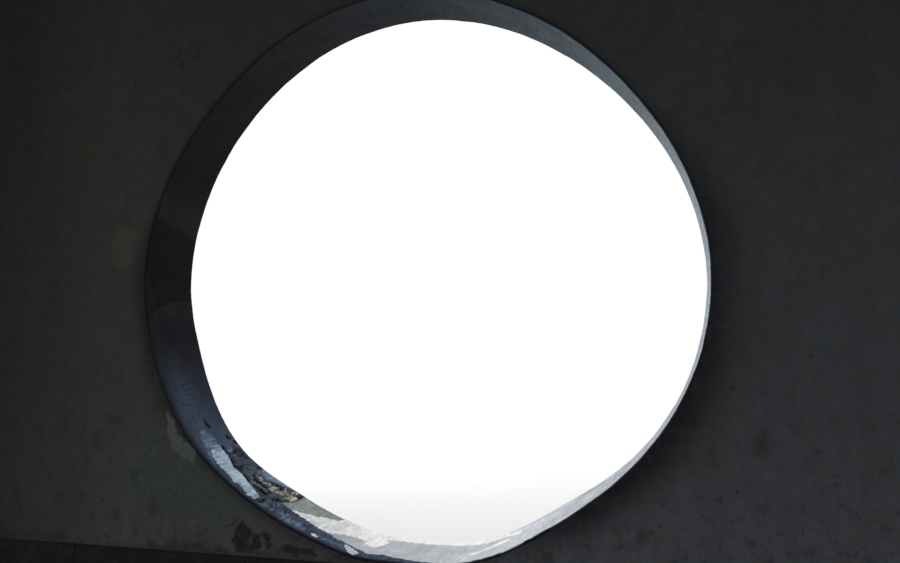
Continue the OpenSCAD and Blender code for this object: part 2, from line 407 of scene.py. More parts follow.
# %% Outlines of the large marks on the reveal
LIME_REPAIR, LIME_DAB = round_marks(
    [(53.2, 104), (50, 86), (47.1, 57), (43.4, 60), (41.2, 37), (40.8, 54), (37.8, 41), (37.1, 12),
     (36.5, 33), (35.5, 31), (35.6, 90), (38.5, 127), (39.9, 131), (42.3, 160), (45.2, 157),
     (46.9, 184), (48.2, 197), (49.2, 191), (50.6, 192), (52.8, 174)],
    [(13.9, 85), (13.3, 55), (12, 22), (10.6, 8), (10.1, 45), (11.5, 68), (12.8, 82)],
)
(BARE_UNDERCOAT,) = round_marks(
    [(48.4, 206), (46, 145), (40, 120), (36, 80), (35.4, 42), (34.2, 40), (33.3, 74), (33.9, 104),
     (32.9, 131), (33.2, 152), (32.1, 172), (31.7, 195), (30.9, 207), (30.4, 232), (30.2, 262),
     (30.7, 284), (30.2, 312), (30.7, 340), (32, 348), (35, 326), (36.6, 316), (38.5, 292),
     (39.7, 280), (41, 302), (42, 345), (47, 340), (49, 325), (49.8, 290), (48.9, 272), (48.5, 226)],
)
(FADED_BLUE,) = round_marks(
    [(42.3, 366), (42.1, 340), (41.1, 306), (40.1, 281), (38.6, 288), (36.8, 314), (34.5, 336),
     (32.4, 350), (31.6, 366)],
)
(SMOOTH_GREY,) = round_marks(
    [(31.3, 163), (29.5, 160), (27, 165), (20, 200), (18, 300), (18, 366), (30.3, 366), (30.2, 300),
     (30.6, 225), (31.2, 200)],
)
CREAM, CREAM_RUN = round_marks(
    [(28.4, 150), (25.2, 146), (21.4, 132), (18.5, 131), (16.2, 181), (13.9, 203), (11.2, 198),
     (10, 160), (8.4, 157), (7.1, 246), (7.6, 288), (4.5, 304), (0, 313), (-6, 304), (-9.8, 290),
     (-12, 270), (-19.2, 266), (-21.6, 218), (-22.9, 222), (-21.6, 300), (-19, 312), (-18.5, 366),
     (18.3, 366), (20, 330), (20.4, 298), (22.5, 275), (24, 232), (26.4, 203), (27.8, 172)],
    [(-12.4, 100), (-13.6, 107), (-15.4, 142), (-19.8, 165), (-20.8, 150), (-20.4, 192),
     (-18.4, 222), (-16.2, 192), (-14.4, 152), (-12.5, 138)],
)
(NEAR_DARK,) = round_marks(
    [(38, -20), (35, 150), (28, 146), (22, 126), (16, 114), (12, 94), (8.6, 62), (5.3, 84),
     (2.2, 58), (0.4, 42), (-3.4, 25), (-7, 11), (-9, -20)],
)
print("corners of the large marks:", len(LIME_REPAIR), len(BARE_UNDERCOAT), len(SMOOTH_GREY), len(CREAM))

# %% [markdown]
# ### Small marks
# Thin washes, chips, cracks and knocks are smaller than a hand. An outline for each would be a long list
# of corners, so they are strokes: a path with a half width at each place, whose edge the noise frays.

# %% Strokes of the small marks on the reveal
THIN_WASH = round_marks(
    [(54.4, 130, 20), (53, 140, 46), (51.2, 135, 54)],
    [(49.8, 72, 9), (48.2, 48, 8), (46.8, 34, 6)],
    [(41.3, 8, 7), (41.4, 30, 9)],
    [(49.3, 262, 10), (49.2, 235, 9)],
    [(27.8, 44, 14), (26.6, 54, 22), (25, 58, 24)],
    [(23.8, 34, 12), (23.2, 50, 10)],
    [(33.1, 34, 10), (32.4, 48, 11)],
    [(31.2, 42, 6), (31.3, 58, 6)],
    [(31.9, 122, 9), (31.7, 104, 8)],
    [(29, 70, 7), (28.2, 92, 7)],
    [(19.4, 52, 8), (17, 50, 9), (14.4, 62, 6)],
)
PALE_DABS = round_marks(
    [(20.4, 44, 10), (19.9, 32, 10)],
    [(12.4, 132, 8), (11, 148, 10)],
    [(-12.4, 10, 5), (-14.4, 24, 7)],
    [(-19.6, 28, 9), (-22, 14, 12), (-24.5, 12, 9)],
)
LIGHT_SLIVER = round_marks([(40.2, 187, 6), (38, 194, 8), (36, 202, 7)])
CHIPS = round_marks(
    [(39.2, 244, 7), (39.7, 262, 12), (40.3, 272, 8)],
    [(38.5, 252, 7), (37.4, 262, 13), (36.5, 254, 13), (35.4, 270, 11)],
    [(36.4, 232, 7), (34.8, 236, 9), (33.6, 248, 9)],
    [(35.5, 290, 8), (35.8, 302, 6)],
    [(41.4, 318, 7), (41.2, 326, 6)],
    [(32.1, 236, 6), (31.8, 256, 12), (31.6, 276, 10)],
    [(33.3, 280, 6), (32.8, 296, 10)],
)
OCHRE_BITS = round_marks(
    [(31.2, 246, 4), (31, 270, 6), (31.2, 296, 11)],
    [(33.1, 288, 7), (32.3, 298, 11), (31.6, 306, 8)],
    [(32.7, 334, 8), (31.9, 338, 8)],
    [(34.8, 330, 5), (34.3, 312, 6), (34, 300, 6)],
)
# The deep gaps are painted near black: painted shade in the hollows of the bare patch.
DEEP_GAPS = round_marks(
    [(33, 312, 7), (32.4, 322, 7)],
    [(31.1, 318, 7), (30.8, 336, 8), (31, 346, 6)],
    [(36.3, 318, 8), (35.4, 318, 9)],
    [(33.5, 160, 9), (32.8, 188, 15), (31.8, 216, 10)],
    [(34.6, 66, 9), (34.4, 118, 10)],
    [(40, 158, 10), (38.2, 170, 14), (36.2, 172, 13)],
    [(41.6, 262, 8), (39.9, 226, 14), (37.4, 220, 12), (35.8, 214, 8)],
    [(46.8, 214, 13), (45.6, 192, 15), (44.6, 206, 15), (44.4, 236, 11), (45.2, 262, 8)],
    [(42.2, 186, 8), (40.8, 180, 8)],
    [(49, 288, 6), (47.8, 300, 6)],
)
DARK_LINES = round_marks(
    [(30.5, 24, 4), (30.6, 66, 4), (32, 120, 4), (32.9, 160, 4)],
    [(31.6, 26, 3), (32.3, 84, 4), (33.1, 122, 4)],
    [(36, 2, 6), (33.6, 8, 7), (30.4, 14, 8)],
    [(28.6, 84, 3), (29.8, 128, 4)],
    [(-14.4, 2, 6), (-17, 7, 9), (-19.6, 5, 8)],
    [(-25, 2, 4), (-27.4, 4, 9), (-30.5, 3, 7)],
)
BLUISH_SHEEN = round_marks([(77, 120, 20), (68, 130, 60), (58, 150, 80), (53, 150, 60)])
RIM_SHADE = round_marks([(80, 0, 20), (62, 0, 34), (50, 0, 34), (43, 5, 26), (30, 0, 22), (4, 0, 16)])
NICKS = round_marks(
    [(57.5, 198, 7), (56.6, 201, 13), (55.9, 207, 11)],
    [(50.3, 220, 6), (50.4, 207, 9), (49.1, 205, 9), (48.4, 214, 9)],
    [(52.9, 308, 7), (52.4, 296, 8), (52.2, 318, 8)],
    [(51.1, 334, 7), (50.8, 347, 9)],
    [(-120.4, 240, 5), (-118.5, 215, 6)],
    [(166.4, 262, 3), (168.4, 270, 3)],
)
print("small marks on the reveal:", len(THIN_WASH + PALE_DABS + CHIPS + OCHRE_BITS + DEEP_GAPS), "strokes")

# %% [markdown]
# ## Reveal
# The reveal is one coat of render all round the opening, trowelled by hand, so it is neither truly round
# nor smooth. A cylinder with a bump map would give a machined edge. Here a section of the coat, with a
# worn arris at both faces, is lofted round the opening. Its radius swells and shrinks by up to about
# 30 mm, as the photograph shows, and the places in the marks are sunk or raised by real amounts.

# %% Hand-made roundness
# Swells (+) and flats (-) of each rim, beside its broad waves: turn and half width in degrees, height in mm
NEAR_SWELLS = ((-160, 10, -10), (-38, 12, -9), (-15, 9, 15), (10, 6, 10), (55, 16, 18), (84, 10, 7),
               (170, 16, -14))
FAR_SWELLS = ((-60, 20, 6), (-33, 11, -14), (-12, 11, 14), (32, 20, -25), (48, 12, 28), (75, 9, -11))
THINNEST_RENDER = 4 * MM


def swell(turn, swells):
    """The height of a rim's swells at a turn, in mm."""
    total = 0 * turn
    for middle, width, height in swells:
        away = (turn - middle + 180) % 360 - 180
        total = total + height * np.exp(-(away / width) ** 2)
    return total


def hand_radius(turn, depth):
    """The radius of the hand-made opening at a turn in degrees and a depth in metres."""
    around = np.radians(270 - turn)
    near = 14 * np.cos(2 * around) + 14 * np.cos(3 * (around - np.pi / 2)) + 14 * np.cos(4 * around)
    far = 12 * np.cos(2 * around) + 14 * np.cos(3 * (around - np.radians(104))) + 8 * np.cos(4 * around)
    near, far = near + swell(turn, NEAR_SWELLS), far + swell(turn, FAR_SWELLS)
    made = OPENING_R + (near + (far - near) * depth / WALL_T) * MM
    return np.minimum(made, LINING_R - THINNEST_RENDER)


rims = [hand_radius(np.arange(-180.0, 180.0), depth) / MM for depth in (0, WALL_T)]
print("near rim %.0f to %.0f mm, far rim %.0f to %.0f mm" % (
    rims[0].min(), rims[0].max(), rims[1].min(), rims[1].max()))

# %% Edges of the marks on the reveal
# Strokes or outlines of each mark, how ragged its edge is, and how soft in mm
REVEAL_MARKS = {
    "lime": ([LIME_REPAIR], 1, 16), "bare": ([BARE_UNDERCOAT], 1, 16), "faded": ([FADED_BLUE], 1, 24),
    "smooth": ([SMOOTH_GREY], 0.6, 10), "cream": ([CREAM], 1.5, 14), "cream_run": ([CREAM_RUN], 1, 14),
    "shade": ([NEAR_DARK], 1.5, 18), "chips": (CHIPS, 0.6, 8), "ochre": (OCHRE_BITS, 0.8, 10),
    "gaps": (DEEP_GAPS, 1, 14), "lines": (DARK_LINES, 1, 10), "dabs": ([*PALE_DABS, LIME_DAB], 1, 12),
    "rim": (RIM_SHADE, 1, 50), "wash": (THIN_WASH, 1.5, 26), "sheen": (BLUISH_SHEEN, 0, 140),
    "nick": (NICKS, 0.3, 6), "sliver": (LIGHT_SLIVER, 0.5, 8),
}
print(len(REVEAL_MARKS), "marks are drawn by hand on the reveal")

# %% Places and masks on the reveal
CRUST_WIDER = 12 * MM


def spot(turn, radius, depth):
    """Places at a turn round from the foot, a radius and a depth behind the near face."""
    t = np.radians(turn)
    across = np.broadcast_arrays(-radius * np.sin(t), NEAR_Y + depth, CENTRE_Z - radius * np.cos(t))
    return np.stack(across, -1)


def smoked(turn, depth, brushed):
    """A slanting band at the left that smoke has blackened: its lower edge curves, its upper one is soft."""
    lower_edge = 80 + 5.5 * (1 - np.exp(-depth / 0.09)) + 0.4 * brushed
    upper_edge = 103.6 - 11 * depth
    above = step(turn, lower_edge - 0.8, lower_edge + 0.8)
    return above * (1 - step(turn, upper_edge - 2.5, upper_edge + 2.5))


def reveal_marks(turn, depth):
    """The masks of the marks at each place of the reveal, by name."""
    flat = np.stack(np.broadcast_arrays(np.radians(turn) * OPENING_R, depth), -1)
    place = spot(turn, OPENING_R, depth)
    brushed = lumps(place * [1, 0.2, 1], 0.006, 17)
    ragged = (4 * rough(place, 0.03, 11) + 2 * rough(place, 0.009, 15) + 5 * brushed) * MM
    marks = {name: mask(inside(flat, drawn), share * ragged, soft)
             for name, (drawn, share, soft) in REVEAL_MARKS.items()}
    marks["crust"] = mask(inside(flat, CHIPS + OCHRE_BITS) + CRUST_WIDER, ragged, 30)
    marks["bits"] = 0.5 + 0.5 * rough(place * [1, 0.7, 1], 0.012, 41)
    marks["smoked"] = smoked(turn, depth, brushed)
    marks["lime"] *= 1 - 0.65 * step(turn, 47.5, 52)
    marks["sheen"] *= 1 - step(turn, 58, 78)
    marks["cream"] = np.maximum(marks["cream"], marks.pop("cream_run"))
    marks["smooth"] *= 1 - marks["cream"]
    # pale is the cream coat at the foot, which its layer lays near white: painted light from the far side on
    # a pale coat.
    marks["pale"] = marks["cream"] * (1 - step(turn, 10, 21))
    for laid_over in ("lime", "smooth", "cream"):
        marks["bare"] *= 1 - marks[laid_over]
    return marks


print("names of the masks:", ", ".join(reveal_marks(np.zeros((1, 1)), np.zeros((1, 1)))))

# %% Relief of the reveal
# How far each mark is sunk (+) or raised (-), in mm
SUNK = {"smooth": 3, "lime": -2.4, "cream": -1.6, "dabs": -1.2, "nick": 6, "sliver": -3}
LEVEL_EDGE = 22 * MM


def reveal_relief(turn, depth, marks):
    """How far the surface lies behind the trowelled one, in metres."""
    place = spot(turn, OPENING_R, depth)
    trowelled = 1.2 * rough(place, 0.09, 21) + 0.5 * rough(place * [1, 0.125, 1], 0.012, 25)
    pitted = 11 + 4.5 * rough(place, 0.022, 31, 4) + 2 * lumps(place, 0.006, 37)
    clinging = np.maximum(marks["chips"], marks["ochre"]) * step(marks["bits"], 0.4, 0.55)
    sunk = marks["bare"] * (pitted - clinging * 9 + 6 * marks["gaps"])
    sunk += sum(height * marks[name] for name, height in SUNK.items())
    from_edge = np.minimum(depth, WALL_T - depth)
    return (trowelled + sunk * step(from_edge, 0, LEVEL_EDGE)) * MM


print("raised:", ", ".join(name for name, height in SUNK.items() if height < 0))

# %% Loft of the reveal
# The worn stretch has a point each 3 mm, the rest each 8 mm. Behind the arris the depth goes by 5 mm.
WORN_FROM, WORN_TO, FINE, COARSE = 24, 57, 0.145, 0.37
FACE_BAND = 11 * MM
near_depth = np.array([20, 20, 1.5, 1.5, 2.2, 4.5, 8, *range(13, 180, 5)]) * MM
arris = np.array([0, 0, 0, 6.5, 3.2, 0.9, 0]) * MM
edge = len(arris)
turn = np.concatenate([np.arange(-180, WORN_FROM, COARSE), np.arange(WORN_FROM, WORN_TO, FINE),
                       np.arange(WORN_TO, 180, COARSE)])[:, None]
depth = np.concatenate([near_depth, (WALL_T - near_depth)[::-1]])[None, :]
marks = reveal_marks(turn, depth)
radius = hand_radius(turn, depth) + reveal_relief(turn, np.clip(depth, 8 * MM, WALL_T - 8 * MM), marks)
radius[:, :edge] += arris
radius[:, -edge:] += 0.5 * arris[::-1]
radius = np.minimum(radius, LINING_R - 1 * MM)
for end, face in ((slice(0, 3), 0.0), (slice(-3, None), WALL_T)):
    radius[:, end] = np.minimum(hand_radius(turn, face) + FACE_BAND, LINING_R - 0.5 * MM)
radius[:, [0, -1]] = LINING_R
reveal_shape = loft(spot(turn, radius, depth), closed=True)
print("reveal radius from %.1f to %.1f mm" % (radius[:, 3:-3].min() / MM, radius[:, 3:-3].max() / MM))

# %% [markdown]
# ## Lime render of the reveal
# The reveal is lime render, pressed smooth with a steel trowel while it set, then rubbed, smoked and
# washed for many years. That gives a fine grey skin with long trowel lines, dull where it is dusty and
# slightly shiny where it is rubbed. Each mark of the mesh gets a tone of its own, and fine noise in the
# shader sharpens its edge. Sand grains of about 1 mm are too fine to show, so they are drawn as 4 mm.

# %% Helpers for tones
def scale(size_mm):
    """The scale of a noise whose lumps are about this wide."""
    return 1000 / size_mm


def varied(tree, tone, value, low, high, dark, bright):
    """A tone times a gain that goes from dark to bright as a value goes from low to high."""
    gain = add(tree, "MapRange", {"Value": value, "From Min": low, "From Max": high, "To Min": dark,
                                  "To Max": bright})
    return add(tree, "Mix", {"Factor": 1.0, "A": tone, "B": gain}, data_type="RGBA", blend_type="MULTIPLY")


def soiled(tree, tone, colour, value, low, high, share):
    """A tone under a share of a colour, which is none where a value is low and whole where it is high."""
    much = add(tree, "MapRange", {"Value": value, "From Min": low, "From Max": high, "To Max": share})
    return add(tree, "Mix", {"Factor": much, "A": tone, "B": linear(colour)}, data_type="RGBA")


def finished(tree, tone, height, relief_mm, strength, roughness, shine):
    """Ends a material: a bump of this relief and strength, and a shader of this tone."""
    bump = add(tree, "Bump", {"Strength": strength, "Distance": relief_mm * MM, "Height": height})
    shader = add(tree, "BsdfPrincipled", {"Base Color": tone, "Roughness": roughness,
                                          "Specular IOR Level": shine, "Normal": bump})
    add(tree, "OutputMaterial", {"Surface": shader})


print("a 4 mm grain is a noise of scale", scale(4))

# %% Helpers for marks and cracks
def rub(tree, name, ragged, sharp):
    """The mask of a mark, with its edge broken up by noise. sharp is 0 for soft and 1 for crisp."""
    mark = add(tree, "Attribute", attribute_name=name, out="Fac")
    break_up = 0.15 + 0.5 * sharp
    wider = add(tree, "Math", (ragged, break_up, mark), operation="MULTIPLY_ADD")
    wider = add(tree, "Math", (wider, break_up / 2), operation="SUBTRACT")
    shown = add(tree, "MapRange", {"Value": wider, "From Min": 0.46 * sharp, "From Max": 1 - 0.46 * sharp})
    there = add(tree, "Math", (mark, 0.02), operation="GREATER_THAN")
    return add(tree, "Math", (shown, there), operation="MULTIPLY")


def nearest_crack(tree, flat, cracks):
    """The distance in metres to the nearest of some hairline cracks of (x, y) points in mm."""
    nearest = 1.0
    for crack in cracks:
        for a, b in zip(crack[:-1], crack[1:]):
            start = (a[0] * MM, a[1] * MM, 0)
            run = ((b[0] - a[0]) * MM, (b[1] - a[1]) * MM, 0)
            part = tuple(v / math.hypot(*run) ** 2 for v in run)
            away = add(tree, "VectorMath", (flat, start), operation="SUBTRACT")
            share = add(tree, "VectorMath", (away, part), operation="DOT_PRODUCT")
            share = add(tree, "Clamp", [share])
            foot = add(tree, "VectorMath", (share, run, start), operation="MULTIPLY_ADD")
            gap = add(tree, "VectorMath", (flat, foot), out="Value", operation="DISTANCE")
            nearest = add(tree, "Math", (nearest, gap), operation="MINIMUM")
    return nearest


CRACK_T = 1 * MM
print("a crack is drawn", CRACK_T / MM, "mm to each side of its line and fades beyond that")

# %% Tones and layers of the render
# Tones by the turn round from the foot, partly painted light: pale below is painted light from the far
# side, the blue-grey is painted sky light on a blue-grey wash, and the dark up the left is smoke and painted
# shade.
RENDER_TONES = (
    (-180, "#31363b"), (-155, "#4d565d"), (-130, "#66737d"), (-100, "#98a3ac"), (-60, "#a6aeb6"),
    (-40, "#b0b6bc"), (-24, "#c6cad0"), (-8, "#bdc1c6"), (3, "#b2b7bd"), (10, "#b0b5bb"),
    (16, "#a4a9b0"), (19, "#7d8591"), (22, "#3f495b"), (50, "#3f4b60"), (61, "#303747"),
    (72, "#26282f"), (80, "#1c1d21"), (110, "#1b1b1c"), (140, "#212225"), (165, "#292b2f"),
    (180, "#31363b"),
)
# Each layer: mark, how crisp its edge is, how much brushwork breaks it up, its darker and lighter tone.
RENDER_LAYERS = (
    ("smoked", 0.5, 0.0, "#060509", "#0c0b0f"),
    ("sheen", 0.0, 0.2, "#363e4e", "#485368"),
    ("faded", 0.4, 0.2, "#5f7087", "#7f92a8"),
    ("shade", 0.5, 0.0, "#242b39", "#46556c"),
    ("wash", 0.2, 0.5, "#465770", "#6e849e"),
    ("rim", 0.1, 0.2, "#17181c", "#202229"),
    ("lines", 0.4, 0.3, "#1b1e27", "#272c38"),
    ("smooth", 0.8, 0.0, "#757d7f", "#959b98"),
    # cream and pale are lighter than the coats themselves: painted light from the far side on the pale coats
    # at the foot.
    ("cream", 0.75, 0.0, "#bbc1c8", "#ece9e8"),
    ("pale", 0.3, 0.3, "#e8e6e5", "#fbf6f3"),
    ("bare", 0.85, 0.0, "#1f232c", "#53606f"),
    ("crust", 0.2, 0.0, "#3f4445", "#71756f"),
    ("chips", 0.5, 0.0, "#666d6e", "#bcbdb5"),
    ("ochre", 0.6, 0.0, "#8a7d69", "#e6d5b3"),
    # gaps: painted shade in the deep hollows of the bare patch.
    ("gaps", 0.5, 0.0, "#14151a", "#20232a"),
    ("lime", 0.85, 0.2, "#839bb0", "#bccdd7"),
    ("dabs", 0.6, 0.1, "#9cadb9", "#d0d9dc"),
    ("sliver", 0.6, 0.1, "#4d5964", "#72818c"),
)
REVEAL_CRACKS = round_marks(
    [(-165.8, 68), (-165.4, 140), (-164.2, 170), (-163.7, 208), (-162.5, 227)],
    [(-176.2, 244), (-175.6, 291), (-174.9, 338)],
)
print("render tones at", len(RENDER_TONES), "turns and", len(RENDER_LAYERS), "layers of marks")

# %% Places on the render
trowelled_render = bpy.data.materials.new("trowelled_lime_render")
tree = empty_tree(trowelled_render)
place = add(tree, "TexCoord", out="Object")
to_centre = add(tree, "VectorMath", ((0, 0, CENTRE_Z), place), operation="SUBTRACT")
x_way, z_way = [add(tree, "SeparateXYZ", [to_centre], out=way) for way in "XZ"]
y_place = add(tree, "SeparateXYZ", [place], out="Y")
turn_node = add(tree, "Math", (x_way, z_way), operation="ARCTAN2")
behind = add(tree, "Math", (y_place, NEAR_Y), operation="SUBTRACT")
arc = add(tree, "Math", (turn_node, OPENING_R), operation="MULTIPLY")
flat = add(tree, "CombineXYZ", (arc, behind))
print("the render's nodes measure the turn round from the foot and the depth behind the near face")

# %% Patterns of the render
# Brush and trowel strokes run through the opening: they are long along the depth and 14 mm apart.
drawn_through = add(tree, "VectorMath", (place, (1, 0.14, 1)), operation="MULTIPLY")
strokes, clouds, smudges, frays, grains = [
    add(tree, "TexNoise", {"Vector": drawn, "Scale": scale(size), "Detail": detail, "Roughness": broken})
    for drawn, size, detail, broken in (
        (drawn_through, 14, 4, 0.6), (place, 130, 5, 0.6), (place, 34, 4, 0.65), (place, 9, 4, 0.7),
        (place, 4, 2, 0.5))]
both = [add(tree, "Math", (strokes, other), operation="ADD") for other in (frays, smudges)]
frays, patchy = [add(tree, "Math", (total, 0.5), operation="MULTIPLY") for total in both]
print("strokes, clouds, smudges, grains and frays:", len(tree.nodes), "nodes so far")

# %% Tone by the turn
# Along the turn the tones wander by some degrees, so that no straight edge shows across the reveal.
wander = add(tree, "Math", (patchy, 0.04, -0.02), operation="MULTIPLY_ADD")
around = add(tree, "MapRange", {"Value": turn_node, "From Min": -math.pi, "From Max": math.pi})
around = add(tree, "Math", (around, wander), operation="ADD")
tone = add(tree, "ValToRGB", [around], stops=[((t + 180) / 360, c) for t, c in RENDER_TONES])
tone = varied(tree, tone, clouds, 0.3, 0.7, 0.84, 1.18)
tone = varied(tree, tone, strokes, 0.32, 0.68, 0.86, 1.13)
print("the tone goes round from", RENDER_TONES[0][1], "at the crown to", RENDER_TONES[8][1], "at the foot")

# %% Layers of marks on the render
# Marks are laid over each other in the order in which they were made. What shows in the bare patch, such
# as the cream and ochre bits that hang on, is held inside it. The same bits stand out in the mesh.
IN_BARE, CLINGING = ("crust", "chips", "ochre", "gaps"), ("chips", "ochre")
held = add(tree, "Attribute", attribute_name="bare", out="Fac")
bits = add(tree, "Attribute", attribute_name="bits", out="Fac")
bits = add(tree, "Math", (frays, 0.9, bits), operation="MULTIPLY_ADD")
bits = add(tree, "Math", (bits, 0.45), operation="SUBTRACT")
clings = add(tree, "MapRange", {"Value": bits, "From Min": 0.3, "From Max": 0.38})
for name, sharp, brushed, darker, lighter in RENDER_LAYERS:
    share = rub(tree, name, frays, sharp)
    pattern, low, high = patchy, 0.4, 0.6
    if name in IN_BARE:
        share = add(tree, "Math", (share, held), operation="MULTIPLY")
    if name in CLINGING:
        share = add(tree, "Math", (share, clings), operation="MULTIPLY")
        pattern, low, high = bits, 0.36, 0.68
    if brushed:
        covers = add(tree, "MapRange", {"Value": strokes, "From Min": 0.38, "From Max": 0.58,
                                        "To Min": 1 - brushed})
        share = add(tree, "Math", (share, covers), operation="MULTIPLY")
    laid = add(tree, "ValToRGB", [pattern], stops=((low, darker), (high, lighter)))
    tone = add(tree, "Mix", {"Factor": share, "A": tone, "B": laid}, data_type="RGBA")
print("layers laid:", ", ".join(layer[0] for layer in RENDER_LAYERS))

# %% Nicks, cracks and dirt on the render
# Nicks show pale render above and dark undercoat low at the left.
nick_tone = add(tree, "ValToRGB", [around], stops=((0.5, "#8f989e"), (0.55, "#1f222a")))
tone = add(tree, "Mix", {"Factor": rub(tree, "nick", frays, 0.7), "A": tone, "B": nick_tone},
           data_type="RGBA")
tone = soiled(tree, tone, "#22262a", nearest_crack(tree, flat, REVEAL_CRACKS), 2.2 * CRACK_T, CRACK_T, 0.7)

# The joint between the reveal and the plaster is darker, on both faces, and a little less at the left.
from_middle = add(tree, "Math", [y_place], operation="ABSOLUTE")
joint_darkness = add(tree, "MapRange", {"Value": around, "From Min": 0.45, "From Max": 0.55, "To Min": 0.98,
                               "To Max": 0.8})
joint = WALL_T / 2 - 2.5 * MM
tone = soiled(tree, tone, "#19191c", from_middle, joint - 3 * MM, joint, joint_darkness)
print("joint dirt starts", round((joint - 3 * MM) / MM, 1), "mm from the middle of the wall")

# %% Shine and relief of the render
# Hands have rubbed a band at the left, about 95 degrees round from the foot.
from_band = add(tree, "Math", (around, 0.765), operation="SUBTRACT")
from_band = add(tree, "Math", [from_band], operation="ABSOLUTE")
rubbed = add(tree, "MapRange", {"Value": from_band, "From Min": 0.03, "From Max": 0.05, "To Min": 0.6,
                                "To Max": 0.9})
height = add(tree, "Math", (grains, 0.5, strokes), operation="MULTIPLY_ADD")
height = add(tree, "Math", (smudges, height), operation="ADD")
finished(tree, tone, height, 0.8, 0.7, rubbed, 0.05)
print(trowelled_render.name, "has", len(tree.nodes), "nodes")

# %% [markdown]
# ## Lime plaster of the faces
# The faces have a coat of lime plaster, floated by hand with a wooden board and limewashed. Smoke, dust
# and hands have greyed it, and its tones are written darker still as painted shade, since the near face
# stands in shade. It is matt, so it has almost no highlight. Broad clouds of warm and cool grey come
# from many thin washes, mottles of about 85 mm from damp, and upright streaks from rain that runs down
# from the coping. The sand grain of 1 mm is drawn as 7 mm, or it would not show.

# %% Layers and cracks of the plaster
PLASTER_LAYERS = (
    ("cool", 0.0, "#303536", "#3e4447"),
    ("halo", 0.0, "#17161b", "#1e1d21"),
    ("repaint", 0.2, "#343530", "#3c3d38"),
    ("wedge", 0.4, "#404443", "#4b504f"),
    ("stain", 0.1, "#242525", "#2c2d2d"),
    ("bare", 0.35, "#1c1b1f", "#2b2a2e"),
)
PLASTER_CRACKS = (
    [(-1119, 2384), (-1088, 2398), (-1064, 2445)],
    [(-1030, 2444), (-1016, 2464)],
    [(-977, 2424), (-986, 2399), (-1006, 2387), (-1022, 2398)],
    [(-1054, 2379), (-1057, 2365), (-1065, 2352), (-1119, 2384)],
    [(-1302, 2300), (-1307, 2268)],
    [(-811, 300), (-777, 314), (-739, 342)],
    [(-1546, 1349), (-1524, 1316)],
)
print("plaster:", len(PLASTER_LAYERS), "layers of marks and", len(PLASTER_CRACKS), "cracks")

# %% Patterns of the plaster
weathered_plaster = bpy.data.materials.new("weathered_lime_plaster")
tree = empty_tree(weathered_plaster)
place = add(tree, "TexCoord", out="Object")
x_place, y_place, z_place = [add(tree, "SeparateXYZ", [place], out=way) for way in "XYZ"]
drawn_down = add(tree, "VectorMath", (place, (1, 1, 0.1)), operation="MULTIPLY")
clouds, mottles, spots, flecks, flakes, grains, streaks = [
    add(tree, "TexNoise", {"Vector": drawn, "Scale": scale(size), "Detail": detail, "Roughness": broken})
    for drawn, size, detail, broken in (
        (place, 480, 4, 0.55), (place, 85, 5, 0.7), (place, 60, 5, 0.75), (place, 30, 5, 0.75),
        (place, 18, 4, 0.7), (place, 7, 3, 0.6), (drawn_down, 95, 4, 0.6))]
print("clouds, mottles, spots, flecks, flakes, grains and streaks:", len(tree.nodes), "nodes so far")

# %% Washes and weather on the plaster
# The washes are warmer to the left and cooler to the right and low down.
coolness = add(tree, "MapRange", {"Value": x_place, "From Min": -1.7, "From Max": 1.5})
coolness = add(tree, "Math", (clouds, 1.1, coolness), operation="MULTIPLY_ADD")
low_down = add(tree, "MapRange", {"Value": z_place, "From Min": 1.5, "From Max": 0.2, "To Max": 0.45})
coolness = add(tree, "Math", (coolness, low_down), operation="ADD")
coolness = add(tree, "MapRange", {"Value": coolness, "From Min": 0.2, "From Max": 2.0})
# These tones are darker than the plaster itself: painted shade on the faces.
tone = add(tree, "ValToRGB", [coolness], stops=(
    (0.15, "#333330"), (0.4, "#323231"), (0.62, "#313333"), (0.85, "#34373a")))

# The wall is paler at its foot and darker higher up. An upright band about 2 m left of the opening's
# middle is painted darker on the near face: painted shade.
on_back = add(tree, "Math", (y_place, 0.0), operation="GREATER_THAN")
from_shaded_band = add(tree, "Math", (x_place, 2.0), operation="ADD")
from_shaded_band = add(tree, "Math", [from_shaded_band], operation="ABSOLUTE")
from_shaded_band = add(tree, "Math", (from_shaded_band, on_back), operation="ADD")
for gain in (
    (z_place, 0.9, 2.6, 1.09, 0.66), (z_place, 0.2, 0.9, 1.35, 1.0), (mottles, 0.34, 0.66, 0.91, 1.09),
    (grains, 0.3, 0.7, 0.9, 1.1), (streaks, 0.3, 0.7, 0.93, 1.05), (from_shaded_band, 0.0, 0.65, 0.58, 1.04),
):
    tone = varied(tree, tone, *gain)
print("washes, rain, soot and damp:", len(tree.nodes), "nodes so far")

# %% Spots, flecks, mud and soot on the plaster
# Small damp spots are common low on the wall and rare higher up.
rare = add(tree, "MapRange", {"Value": z_place, "From Min": 0.25, "From Max": 1.6, "To Min": 0.05,
                              "To Max": 0.16})
spots = add(tree, "Math", (spots, rare), operation="SUBTRACT")
tone = soiled(tree, tone, "#211e1e", spots, 0.47, 0.57, 0.5)

# Limewash has come off in flecks of about 30 mm, so warm sand and cool wash show side by side.
warmth = add(tree, "ValToRGB", [flecks], stops=((0.38, "#c1b6b0"), (0.62, "#bdc2c8")))
tone = add(tree, "Mix", {"Factor": 1.0, "A": tone, "B": warmth}, data_type="RGBA", blend_type="OVERLAY")

